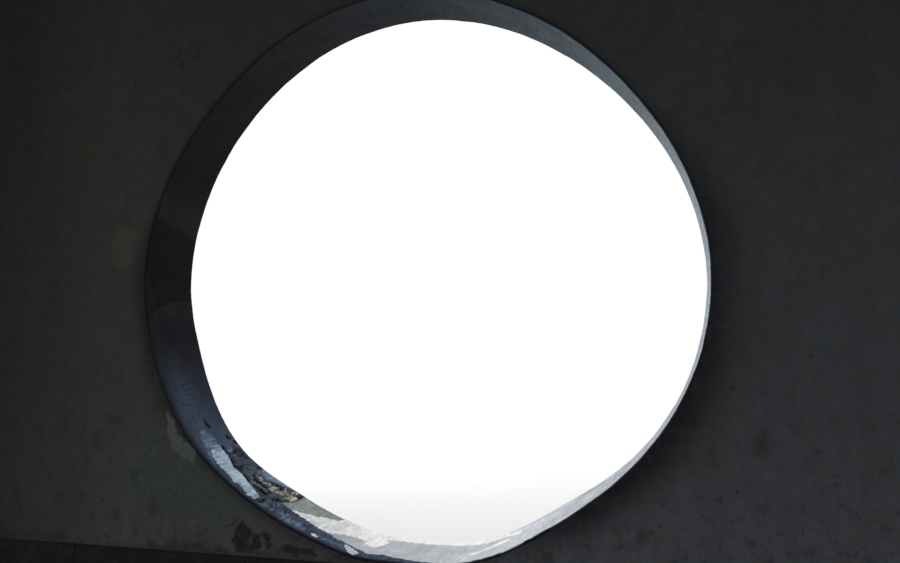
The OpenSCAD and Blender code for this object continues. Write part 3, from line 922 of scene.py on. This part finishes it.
# Splashed mud and lost wash along the foot, and soot under the corbel: each ends at a wavering height.
for pattern, wavers, colour, low, high, share in (
    (mottles, 0.28, "#22211e", 0.37, 0.32, 0.4),
    (flecks, 0.05, "#43423f", 0.22, 0.212, 0.4),
    (streaks, -0.5, "#1d1d1d", 2.5, 2.85, 0.35),
):
    level = add(tree, "Math", (pattern, wavers, z_place), operation="MULTIPLY_ADD")
    tone = soiled(tree, tone, colour, level, low, high, share)
print("spots, flecks, mud and soot:", len(tree.nodes), "nodes so far")

# %% Marks, cracks and relief of the plaster
for name, sharp, darker, lighter in PLASTER_LAYERS:
    share = rub(tree, name, flakes, sharp)
    laid = add(tree, "ValToRGB", [flakes], stops=((0.36, darker), (0.64, lighter)))
    tone = add(tree, "Mix", {"Factor": share, "A": tone, "B": laid}, data_type="RGBA")

# The cracks were read on the near face, so on the far face they are put out of reach.
flat = add(tree, "CombineXYZ", (x_place, z_place))
away = add(tree, "Math", (nearest_crack(tree, flat, PLASTER_CRACKS), on_back), operation="ADD")
tone = soiled(tree, tone, "#131313", away, 3 * CRACK_T, CRACK_T, 0.75)
height = add(tree, "Math", (mottles, 2.0, grains), operation="MULTIPLY_ADD")
finished(tree, tone, height, 1.0, 0.5, 0.93, 0.05)
print(weathered_plaster.name, "has", len(tree.nodes), "nodes")

# %% [markdown]
# ## Fired grey brick
# The core is laid in grey bricks of 240 by 115 by 53 mm, fired with little air and watered in the kiln,
# which turns the clay grey, in lime mortar joints of 10 mm. The brick texture is used at these sizes.
# In the ring the bricks stand on edge round the opening, so their pattern follows the turn.

# %% Brick materials
BRICK_L, BRICK_H, JOINT_W, RING_D = 240 * MM, 53 * MM, 10 * MM, 180 * MM


def brick_material(name, round_the_opening):
    """Grey bricks in level courses, or on edge round the opening."""
    material = bpy.data.materials.new(name)
    tree = empty_tree(material)
    place = add(tree, "TexCoord", out="Object")
    x_place, y_place, z_place = [add(tree, "SeparateXYZ", [place], out=way) for way in "XYZ"]
    if round_the_opening:
        z_place = add(tree, "Math", (CENTRE_Z, z_place), operation="SUBTRACT")
        turn = add(tree, "Math", (x_place, z_place), operation="ARCTAN2")
        courses = add(tree, "Math", (turn, OPENING_R + RING_D / 2), operation="MULTIPLY")
        flat = add(tree, "CombineXYZ", (y_place, courses))
    else:
        along = add(tree, "Math", (x_place, y_place), operation="ADD")
        flat = add(tree, "CombineXYZ", (along, z_place))
    bricks = add(tree, "TexBrick", {
        "Vector": flat, "Color1": linear("#5d5b57"), "Color2": linear("#464644"),
        "Mortar": linear("#8d8b82"), "Scale": 1.0, "Mortar Size": JOINT_W / 2, "Mortar Smooth": 0.2,
        "Brick Width": BRICK_L + JOINT_W, "Row Height": BRICK_H + JOINT_W,
    }, out="Color")
    fired = add(tree, "TexNoise", {"Vector": place, "Scale": scale(25), "Detail": 5, "Roughness": 0.7})
    tone = varied(tree, bricks, fired, 0.3, 0.7, 0.75, 1.2)
    finished(tree, tone, fired, 1.5, 0.6, 0.9, 0.5)
    return material


def clad(starts, material):
    """Gives a material to the CAD nodes whose names start so. They show as they are."""
    nodes = [node for node in frame["nodes"] if node.startswith(starts)]
    for node in nodes:
        bpy.data.objects[node].material_slots[0].material = material
    print(material.name, "on", len(nodes), "nodes")


clad(("pier", "haunch", "wall"), brick_material("grey_brick_in_courses", False))
clad("ring_", brick_material("grey_brick_round_opening", True))

# %% [markdown]
# ## Bluestone, lime mortar and roof tile
# Three finishes share one way of working. Bluestone is a dense dark limestone, dressed with a chisel, so
# it has paler bruises of about 12 mm; its tones are written darker still, as painted shade. Lime mortar is
# pale and chalky, and rain leaves dark runs on it.
# Roof tile is grey fired clay: each tile has a tone of its own from the kiln, with dust in its hollows
# and pale lichen on top. What faces the sky is darker on all three, from soot, moss and algae.

# %% Materials of the outer pieces
OUTER_FINISHES = {
    # name: darker, middle and lighter tone, tone of growth, its share, patch and grain size in mm, shine
    # The bluestone's tones are darker than the stone itself: painted shade.
    "chiselled_bluestone": ("#121115", "#18171b", "#25252a", "#151614", 0.45, 55, 12, 0.1),
    "weathered_lime_mortar": ("#3f3e3b", "#5b5a55", "#7c7a73", "#34352f", 0.7, 120, 9, 0.05),
    "fired_grey_roof_tile": ("#2f3235", "#43474a", "#5d6164", "#34392c", 0.55, 70, 6, 0.3),
}


def outer_material(name):
    """One of the outer finishes, with growth on what faces the sky."""
    darker, middle, lighter, growth, share, patch, grain, shine = OUTER_FINISHES[name]
    material = bpy.data.materials.new(name)
    tree = empty_tree(material)
    place = add(tree, "TexCoord", out="Object")
    patches = add(tree, "TexNoise", {"Vector": place, "Scale": scale(patch), "Detail": 5, "Roughness": 0.65})
    grains = add(tree, "TexNoise", {"Vector": place, "Scale": scale(grain), "Detail": 3})
    value = add(tree, "Math", (grains, 0.45, patches), operation="MULTIPLY_ADD")
    if "tile" in name:
        kiln = add(tree, "NewGeometry", out="Random Per Island")
        value = add(tree, "Math", (kiln, 0.28, value), operation="MULTIPLY_ADD")
        value = add(tree, "Math", (value, 0.14), operation="SUBTRACT")
    if "mortar" in name:
        drawn_down = add(tree, "VectorMath", (place, (1, 1, 0.12)), operation="MULTIPLY")
        runs = add(tree, "TexNoise", {"Vector": drawn_down, "Scale": scale(30), "Detail": 4})
        value = add(tree, "Math", (runs, 0.7, value), operation="MULTIPLY_ADD")
        value = add(tree, "Math", (value, 0.35), operation="SUBTRACT")
    tone = add(tree, "ValToRGB", [value], stops=((0.48, darker), (0.72, middle), (0.98, lighter)))
    upward = add(tree, "SeparateXYZ", [add(tree, "NewGeometry", out="Normal")], out="Z")
    grown = add(tree, "Math", (upward, 0.6, patches), operation="MULTIPLY_ADD")
    tone = soiled(tree, tone, growth, grown, 0.7, 1.15, share)
    if "tile" in name:
        lichen = add(tree, "TexNoise", {"Vector": place, "Scale": scale(22), "Detail": 4, "Roughness": 0.7})
        lichen = add(tree, "Math", (upward, 0.08, lichen), operation="MULTIPLY_ADD")
        tone = soiled(tree, tone, "#7f8275", lichen, 0.69, 0.73, 0.75)
    height = add(tree, "Math", (patches, 2.0, grains), operation="MULTIPLY_ADD")
    finished(tree, tone, height, 1.0, 0.6, 0.88, shine)
    return material


dressed_stone, weathered_lime, grey_tile = [outer_material(name) for name in OUTER_FINISHES]
clad("gutter_tiles_", grey_tile)

# %% [markdown]
# ## The reveal in its place
# The coat becomes one piece that stands for the plain CAD ring. The mesh carries each mark as a number
# at every point, and the material reads them by name. Images on a UV map would do it too, but numbers
# on the points belong to the mesh itself.

# %% Reveal in place
reveal = make_piece("reveal_coat", reveal_shape, trowelled_render, ["reveal_render"])
keep(reveal, marks)
print("the reveal keeps", len(marks), "marks at its points")

# %% [markdown]
# ## Plaster on the faces
# Each face of the wall has a 20 mm coat of plaster that ends in a worn arris round the reveal. A flat
# plate with a bored hole would look new. The coat is lofted round the opening instead: each section
# runs from the hole out to the edge of the bay, so that the mesh is dense where people look and touch.
# Old plaster waves a little, and where its skin has peeled it lies 2 mm deeper.

# %% Marks on the near face
PEELED = (
    [(-768, 272), (-752, 306), (-725, 337), (-710, 312), (-690, 300), (-680, 272), (-700, 240),
     (-706, 203), (-762, 200)],
    [(-690, 256), (-664, 274), (-640, 254), (-630, 226), (-628, 204), (-684, 199)],
    [(-640, 286), (-601, 290), (-592, 257), (-589, 212), (-618, 206), (-624, 243)],
    [(-560, 212), (-526, 236), (-443, 238), (-398, 226), (-388, 201), (-448, 206), (-503, 206)],
    [(-375, 208), (-339, 219), (-285, 210), (-271, 198), (-330, 195)],
    [(1207, 1165), (1222, 1170), (1232, 1128), (1214, 1118)],
)
STAINS = (
    [(-1478, 660, 20), (-1462, 642, 12)],
    [(-1358, 732, 24), (-1334, 716, 18)],
    [(-1885, 827, 12)],
    [(-1280, 478, 12), (-1264, 524, 16), (-1232, 540, 12), (-1212, 516, 8)],
    [(-1190, 385, 22), (-1150, 362, 12)],
    [(770, 500, 22), (800, 482, 24)],
    [(650, 420, 26), (692, 400, 28)],
    [(586, 258, 30), (548, 236, 16)],
    [(952, 350, 20)],
    [(1395, 770, 14), (1408, 715, 20), (1380, 690, 12)],
    [(-420, 262, 7), (-340, 250, 10), (-268, 214, 8)],
    [(-1185, 194, 6), (-1030, 192, 7)],
    [(-915, 204, 9), (-862, 209, 12)],
    [(-1202, 1935, 8), (-1140, 1941, 8)],
    [(-1200, 2642, 14), (-1160, 2642, 14)],
)
COOL_WASH = [[(-1290, 430, 60), (-1000, 480, 150), (-840, 380, 80)], [(-1180, 640, 60), (-1240, 520, 80)]]
REPAINT = [[(-1342, 1565, 60), (-1350, 1495, 60)]]
WEDGE = [(-1115, 812), (-1080, 775), (-1040, 690), (-955, 620), (-968, 560), (-1000, 590),
         (-1025, 582), (-1077, 636), (-1105, 700), (-1098, 738), (-1112, 772)]
# Width in mm and strength of the dark halo round the opening, by the turn from the foot
HALO = ((-180, 15, 0.2), (-125, 30, 0.35), (-100, 90, 0.8), (-60, 120, 1), (-35, 90, 1), (-20, 30, 0.3),
        (0, 25, 0.3), (25, 35, 0.5), (45, 30, 0.5), (60, 45, 0.7), (90, 60, 0.7), (105, 20, 0.3),
        (180, 15, 0.2))
print("marks on the near face:", len(PEELED), "peeled patches,", len(STAINS), "stains and a halo")

# %% Masks and waves of the plaster
FACE_MARKS = {
    # how it is drawn, how ragged its edge is, how soft in mm, and how strong the mark is
    "bare": (PEELED, 1.8, 16, 1), "stain": (STAINS, 4, 50, 0.6), "cool": (COOL_WASH, 4, 160, 0.8),
    "repaint": (REPAINT, 1, 40, 0.7), "wedge": ([WEDGE], 1, 16, 1),
}


def front_marks(place, gap, turn):
    """The masks of the marks on the front face. gap is the distance from the edge of the opening."""
    ragged = 7 * MM * rough(np.stack([place[..., 0], 0 * gap, place[..., 1]], -1), 0.03, 57)
    marks = {name: strong * mask(inside(place, drawn), share * ragged, soft)
             for name, (drawn, share, soft, strong) in FACE_MARKS.items()}
    turns, widths, strengths = np.array(HALO).T
    width, strength = np.interp(turn, turns, widths) * MM, np.interp(turn, turns, strengths)
    marks["halo"] = strength * np.exp(-(gap / width) ** 2) * np.clip(1 + ragged / (40 * MM), 0, 1)
    return marks


def waves(x, z):
    """How far plaster lies behind its flat face at a place on the wall, in metres."""
    place = np.stack(np.broadcast_arrays(x, 0.0, z), -1)
    return (1.5 * (1 + 0.62 * lumps(place, 0.4, 51) + 0.3 * lumps(place, 0.11, 53)) / 2
            + 0.25 * (1 + lumps(place, 0.03, 55))) * MM


print("the plaster at a corner lies %.1f mm behind its flat face" % (waves(2.4, 0.2) / MM))

# %% Shape of the plastered faces
plaster_low, plaster_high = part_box("plaster_front")
COAT_T, PEELED_DEPTH = 20 * MM, 2 * MM
EDGE_GAP, ARRIS_RUN, ARRIS_DROP = 11.5 * MM, 3 * MM, 0.9 * MM


def plaster_face(side, around, across):
    """A coat on the front (side -1) or the back face, and the masks of the marks on it."""
    width, top, bottom = plaster_high.x, plaster_high.z - CENTRE_Z, plaster_low.z - CENTRE_Z
    corners = [math.degrees(math.atan2(-x, -z)) for x in (-width, width) for z in (bottom, top)]
    turn = np.sort(np.concatenate([np.linspace(-180, 180, around, endpoint=False), corners]))[:, None]
    t = np.radians(turn)
    x_way, z_way = -np.sin(t), -np.cos(t)
    reach = np.minimum(width / np.maximum(np.abs(x_way), 1e-9),
                       np.where(z_way > 0, top, -bottom) / np.maximum(np.abs(z_way), 1e-9))
    hole = np.minimum(hand_radius(turn, 0.0 if side < 0 else WALL_T) + EDGE_GAP, LINING_R)
    share = np.linspace(0, 1, across)[None, :] ** 1.35
    radius = hole + ARRIS_RUN + (reach - hole - ARRIS_RUN) * share
    radius = np.concatenate([hole, hole, hole + ARRIS_DROP, radius, reach], 1)
    x, z = radius * x_way, CENTRE_Z + radius * z_way
    marks = front_marks(np.stack([x, z], -1), radius - hole, turn) if side < 0 else {"bare": 0 * x}
    behind = waves(x, z) + PEELED_DEPTH * marks["bare"]
    behind[:, 0] = behind[:, -1] = COAT_T
    behind[:, 1] += ARRIS_RUN
    behind[:, 2] += ARRIS_DROP
    return loft(np.stack([x, side * (WALL_T / 2 - behind), z], -1), closed=True), marks


shape, marks = plaster_face(-1, 996, 86)
keep(make_piece("front_plaster", shape, weathered_plaster, ["plaster_front"]), marks)
shape, marks = plaster_face(1, 700, 42)
make_piece("back_plaster", shape, weathered_plaster, ["plaster_back"])

# %% [markdown]
# ## Plaster on the ends
# The bay is closed at both ends by the same coat. Its section is a thin upright strip with rounded
# arrises, and it is lofted upwards with the same waves, so that it meets the coats on the faces.

# %% Plastered ends
END_ARRIS, END_POINTS = 4 * MM, 44


def plaster_end(side):
    """The coat on the left (side -1) or right end of the bay."""
    low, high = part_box("plaster_end_left" if side < 0 else "plaster_end_right")
    z = np.arange(low.z, high.z + 1 * MM, (high.z - low.z) / 240)[:, None]
    inner, outer, half = plaster_high.x, high.x if side > 0 else -low.x, WALL_T / 2
    start, stop, bend = outer - END_ARRIS, half - END_ARRIS, np.radians([20, 45, 70])
    across = [inner, start, *(start + END_ARRIS * np.sin(bend)), *([outer] * END_POINTS),
              *(start + END_ARRIS * np.cos(bend)), start, inner]
    along = [-half, -half, *(-stop - END_ARRIS * np.cos(bend)), *np.linspace(-stop, stop, END_POINTS),
             *(stop + END_ARRIS * np.sin(bend)), half, half]
    across, along = np.array(across)[None, :], np.array(along)[None, :]
    onto_end = waves(along * 3, z + 2) * np.clip((across - inner) / (outer - inner), 0, 1)
    x = side * (across - onto_end)
    y = along - np.sign(along) * waves(side * across, z) * np.clip(np.abs(along) / half * 9 - 8, 0, 1)
    return loft(np.stack([x, y, np.broadcast_to(z, x.shape)], -1))


make_piece("left_end_plaster", plaster_end(-1), weathered_plaster, ["plaster_end_left"], 50)
make_piece("right_end_plaster", plaster_end(1), weathered_plaster, ["plaster_end_right"], 50)

# %% [markdown]
# ## Plinth
# The wall stands on blocks of dark bluestone, split and dressed with a chisel, with a worn bevel at
# the top. Each block is a loft along the wall of one outline, and its points are pushed in by noise
# as wide as the strokes of a chisel. The threshold's top is hollowed under the reveal's foot.

# %% Plinth stones
BEVEL = 6 * MM


def hollow_floor(x, top):
    """The height of the threshold's hollow at places along the wall."""
    return np.minimum(top, CENTRE_Z - np.sqrt((LINING_R + 0.3 * MM) ** 2 - x * x))


def plinth_stone(node, seed):
    """A dressed block from its node's box."""
    low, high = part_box(node)
    half, top, seat = high.y, high.z, WALL_T / 2
    x = np.linspace(low.x, high.x, round((high.x - low.x) / (9 * MM)) + 1)
    right_side = [(half, 0), (half, top - BEVEL), (half - BEVEL, top), (seat + 1 * MM, top), (seat, top)]
    section = outline([(-half, 0)] + right_side + [(-y, z) for y, z in right_side[:0:-1]], 10 * MM)
    rings = along_wall(x, section)
    if node == "threshold_stone":
        seated = (np.abs(section[:, 0]) <= seat) & (section[:, 1] >= top)
        rings[..., 2] = np.where(seated, hollow_floor(x[:, None], top), rings[..., 2])
    chisel = 0.8 + 0.8 * lumps(rings, 0.013, seed) + 0.8 * (1 + lumps(rings, 0.08, seed + 1))
    outside = step(np.abs(rings[..., 1]), seat + 2 * MM, seat + 12 * MM)
    rings[..., 1] -= np.sign(rings[..., 1]) * outside * chisel * MM * step(rings[..., 2], 0, 0.02)
    rings[..., 2] -= outside * step(rings[..., 2], top - 3 * MM, top) * 0.8 * chisel * MM
    return loft(rings)


for number, node in enumerate(("threshold_stone", "plinth_stone_left", "plinth_stone_far_left",
                               "plinth_stone_right", "plinth_stone_far_right")):
    make_piece("dressed_" + node, plinth_stone(node, 61 + 3 * number), dressed_stone, [node], 40)

# %% [markdown]
# ## Lime courses
# Two corbel courses, the bed under the tiles and the base of the ridge are brick and lime, run along
# the wall with a wooden template. A template leaves one outline all along, so each course is a loft of
# that outline, and weather has rounded and lowered it here and there.

# %% A course of lime
WORN_MM = 1.2


def lime_course(name, node, corners, seed):
    """A course of one outline of (y, z) corners along the whole bay."""
    low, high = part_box(node)
    rings = along_wall(np.linspace(low.x, high.x, 241), outline(corners, 9 * MM))
    worn = 1 + 0.6 * rough(rings, 0.12, seed) + 0.4 * rough(rings, 0.025, seed + 5)
    toward = rings[..., 1:] - [0.0, (low.z + high.z) / 2]
    toward /= np.maximum(np.linalg.norm(toward, axis=-1, keepdims=True), 1e-6)
    rings[..., 1:] -= toward * (worn * WORN_MM * MM)[..., None]
    make_piece(name, loft(rings), weathered_lime, [node], 50)


print("weather takes about", WORN_MM, "mm off each course")

# %% Corbels, bed and ridge base
low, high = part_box("corbel_roll")
nose, half = (high.z - low.z) / 2, high.y
bend = np.radians(np.arange(-90, 91, 15))
right_side = [(half - nose + nose * math.cos(b), low.z + nose + nose * math.sin(b)) for b in bend]
lime_course("rolled_corbel", "corbel_roll", right_side + [(-y, z) for y, z in right_side[::-1]], 81)

low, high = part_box("corbel_fascia")
lime_course("fascia_corbel", "corbel_fascia", [
    (-high.y, low.z), (high.y, low.z), (high.y, high.z), (-high.y, high.z)], 84)

SLOPE = math.radians(26)
bed_low, bed_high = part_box("coping_bed")
bed_edge = bed_high.z - bed_high.y * math.tan(SLOPE)
lime_course("sloped_bed", "coping_bed", [
    (-bed_high.y, bed_low.z), (bed_high.y, bed_low.z), (bed_high.y, bed_edge), (0, bed_high.z),
    (-bed_high.y, bed_edge)], 87)

low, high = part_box("ridge_base")
shoulder = bed_high.z - high.y * math.tan(SLOPE)
lime_course("ridge_base_course", "ridge_base", [
    (-high.y, shoulder), (0, bed_high.z), (high.y, shoulder), (high.y, high.z), (-high.y, high.z)], 90)

# %% [markdown]
# ## Roof tiles
# The coping is roofed like a small house with fired grey clay tiles: hollow pan tiles that overlap down
# each gutter, half-round cover tiles over the joints between them, pointed drip tiles and round ends at
# the eave, and half-round caps on the ridge. Each tile is a short loft of its own with a seeded shift
# of a millimetre or so, because no two hand-laid tiles lie quite alike.

# %% A frame on the slope
SIDES = ((-1, "front"), (1, "back"))
gutter_low, gutter_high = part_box("gutter_tiles_front")
EAVE_Y, RIDGE_Y = -gutter_low.y, -gutter_high.y
EAVE_Z = gutter_high.z - (EAVE_Y - RIDGE_Y) * math.tan(SLOPE)
SLOPE_L = (EAVE_Y - RIDGE_Y) / math.cos(SLOPE)
DISC_R = 58 * MM
GUTTERS = 25
PITCH = (2 * gutter_high.x - 2 * DISC_R) / GUTTERS
HOLLOW_W, HOLLOW_D = 68 * MM, 16 * MM
HOLLOW_R = (HOLLOW_W ** 2 / 4 + HOLLOW_D ** 2) / (2 * HOLLOW_D)
draw = random.Random(7)


def row_x(number):
    """The middle of a cover row, or of a gutter at a half number."""
    return DISC_R - gutter_high.x + number * PITCH


def on_slope(side, x, up, out):
    """Places on the front (side -1) or back slope: up from the eave and out from the tiles' top."""
    y = EAVE_Y - up * math.cos(SLOPE) + out * math.sin(SLOPE)
    z = EAVE_Z + up * math.sin(SLOPE) + out * math.cos(SLOPE)
    return np.stack(np.broadcast_arrays(x, side * y, z), -1)


def lay(kind, tiles_of, replaced=None):
    """One piece for all the tiles of a kind on each side, in place of the node of this name and side."""
    for side, name in SIDES:
        nodes = [replaced + "_" + name] if replaced else ()
        make_piece(name + "_" + kind, join(tiles_of(side)), grey_tile, nodes, 40)


print("slope %.0f mm long, %d gutters %.1f mm apart" % (SLOPE_L / MM, GUTTERS, PITCH / MM))

# %% Pan tiles
PANS, PAN_T, PAN_LAP = 4, 9 * MM, 6 * MM
exposed = SLOPE_L / PANS


def pan_tile(side, x, up, length):
    """One hollow tile, whose lower edge stands on the tile below."""
    across = np.linspace(-1, 1, 9) * (HOLLOW_W / 2 - 0.5 * MM)
    dip = HOLLOW_R - HOLLOW_D - np.sqrt(HOLLOW_R ** 2 - across ** 2)
    x = x + np.concatenate([across, across[::-1]])
    tip = draw.uniform(0, 1.5) * MM
    rings = []
    for share, lift in ((0, 2), (0.02, 0), (0.5, 4), (1, 8)):
        top = dip + (PAN_T - lift * MM) * 0.9 + tip * (1 - share)
        under = dip + 0.4 * MM
        rings.append(on_slope(side, x, up + share * length, np.concatenate([top, under[::-1]])))
    return loft(np.array(rings))


def pan_tiles(side):
    """The hollow tiles of one side, gutter by gutter."""
    return [pan_tile(side, row_x(gutter + 0.5), pan * exposed, exposed + PAN_LAP * (pan < PANS - 1))
            for gutter in range(GUTTERS) for pan in range(PANS)]


lay("pan_tiles", pan_tiles)

# %% [markdown]
# ### Cover tiles
# A half-round tile covers each joint between two gutters, and its lower end has a thicker lip that rides
# over the next one. A cut cylinder would show no lip and no joint, so each tile is lofted from arcs of
# slightly different radius. Two tiles make a row.

# %% Cover tiles
TILE_ARC = np.radians(np.linspace(0, 180, 19))[None, :]
COVER_UP = np.array([0, 0, 2, 5, 18, 19.5]) * MM
COVER_R = np.array([52.5, 54, 54.8, 55, 55, 53.8, *[53.4] * 4])[:, None] * MM


def cover_tile(side, x, start, stop):
    """One half-round tile from start to stop up the slope, thicker at its lower lip."""
    stations = np.concatenate([COVER_UP + start, np.linspace(start + 40 * MM, stop, 4)])[:, None]
    out = COVER_R * np.sin(TILE_ARC)
    cut = (out * math.sin(SLOPE) - 10 * MM) / math.cos(SLOPE)
    return loft(on_slope(side, x + COVER_R * np.cos(TILE_ARC), np.maximum(stations, cut), out))


def cover_tiles(side):
    """Two cover tiles on each row of one side. The rows at the bay's ends stay where they are."""
    tiles = []
    for number in range(GUTTERS + 1):
        joint = 0.48 * SLOPE_L + draw.uniform(-4, 4) * MM
        shift = draw.uniform(-1, 1) * MM if 0 < number < GUTTERS else 0
        for start, stop in ((-11 * MM, joint + 4 * MM), (joint, SLOPE_L)):
            tiles.append(cover_tile(side, row_x(number) + shift, start, stop))
    return tiles


lay("cover_tiles", cover_tiles, "cover_tiles")

# %% [markdown]
# ### Drip tiles
# Under each gutter hangs a pointed tongue that throws the rain clear of the wall. It was pressed in a
# mould with a raised rim round a sunk field. The outline is scaled towards its middle and moved out and
# in, which gives the rim its rounded edges without any cutting.

# %% Drip tiles
DRIP_W, DRIP_H, DRIP_T = 130 * MM, 88 * MM, 10 * MM
DRIP_ARC = (DRIP_H ** 2 / (DRIP_W / 2) + DRIP_W / 2) / 2
DRIP_TOP = EAVE_Z - DRIP_T * math.tan(SLOPE)


def drip_outline():
    """The pointed tongue, hollowed on top, as (x, z) from the middle of its top edge."""
    z = np.linspace(0, -DRIP_H, 15)
    half = np.sqrt(DRIP_ARC ** 2 - z ** 2) - (DRIP_ARC - DRIP_W / 2)
    top = np.linspace(-1, 1, 11)[1:-1] * HOLLOW_W / 2 * 0.98
    dip = (HOLLOW_R - HOLLOW_D - np.sqrt(HOLLOW_R ** 2 - top ** 2)) / math.cos(SLOPE)
    x = np.concatenate([top, [half[0]], half[1:-1], [0], -half[1:-1][::-1], [-half[0]]])
    z = np.concatenate([dip, [0], z[1:-1], [-DRIP_H], z[1:-1][::-1], [0]])
    return np.stack([x, z], -1)


def drip_tile(side, x):
    """A tongue with a raised rim round a sunk field."""
    flat, middle = drip_outline(), np.array([0, -0.42 * DRIP_H])
    rings = []
    for size, out in ((1, 0), (1, 8.6), (0.975, 10), (0.87, 10), (0.83, 7.6)):
        ring = middle + (flat - middle) * size
        y = np.full(len(ring), side * (EAVE_Y + out * MM))
        rings.append(np.stack([x + ring[:, 0], y, DRIP_TOP + ring[:, 1]], -1))
    return loft(np.array(rings))


lay("drip_tiles", lambda side: [drip_tile(side, row_x(n + 0.5)) for n in range(GUTTERS)], "drip_tiles")

# %% [markdown]
# ### Round ends
# A disc closes each row of cover tiles. Such ends carry plain rings or ornament; the photograph doesn't
# show them, so they have a rim, one ring and a low boss and nothing else. A turned thing is a profile
# run round a circle, so one list of radius and height makes it.

# %% Round ends of the cover rows
def round_end(side, x):
    """A disc with a plain rim, a ring and a boss."""
    bend = np.radians(np.arange(0, 360, 10))
    profile = ((50, 0), (58, 0), (58, 10.5), (56.5, 12), (50, 12), (48, 9.5), (38, 9), (36, 10.6),
               (32, 10.6), (30, 9), (17, 9), (14, 11), (8, 11.8))
    rings = [np.stack([x + r * MM * np.cos(bend), np.full(len(bend), side * (EAVE_Y + DRIP_T + out * MM)),
                       DRIP_TOP + r * MM * np.sin(bend)], -1) for r, out in profile]
    return loft(np.array(rings))


lay("round_ends", lambda side: [round_end(side, row_x(n)) for n in range(GUTTERS + 1)], "cover_ends")

# %% [markdown]
# ### Ridge caps
# Half-round caps cover the top of the ridge from end to end, and each one has a lip that laps over its
# neighbour. They are lofts of arcs like the cover tiles, laid level.

# %% Ridge caps
cap_low, cap_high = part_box("ridge_cap")
CAPS = 20


def ridge_cap(start, stop):
    """A half-round cap with a lip at its left end."""
    bend = np.radians(np.linspace(0, 180, 25))[None, :]
    x = np.array([0, 1, 3, 22, 24, 26])[:, None] * MM + start
    x = np.concatenate([x, np.linspace(start + 60 * MM, stop, 4)[:, None]])
    radius = np.array([69, 71, 71.8, 71.8, 71, 69.4, *[69.2] * 4])[:, None] * MM
    rings = np.stack(np.broadcast_arrays(x, radius * np.cos(bend), cap_low.z + radius * np.sin(bend)), -1)
    return loft(rings)


edges = np.linspace(cap_low.x, cap_high.x, CAPS + 1)
caps = [ridge_cap(a, b - 1 * MM) for a, b in zip(edges[:-1], edges[1:])]
make_piece("ridge_caps", join(caps), grey_tile, ["ridge_cap"], 40)
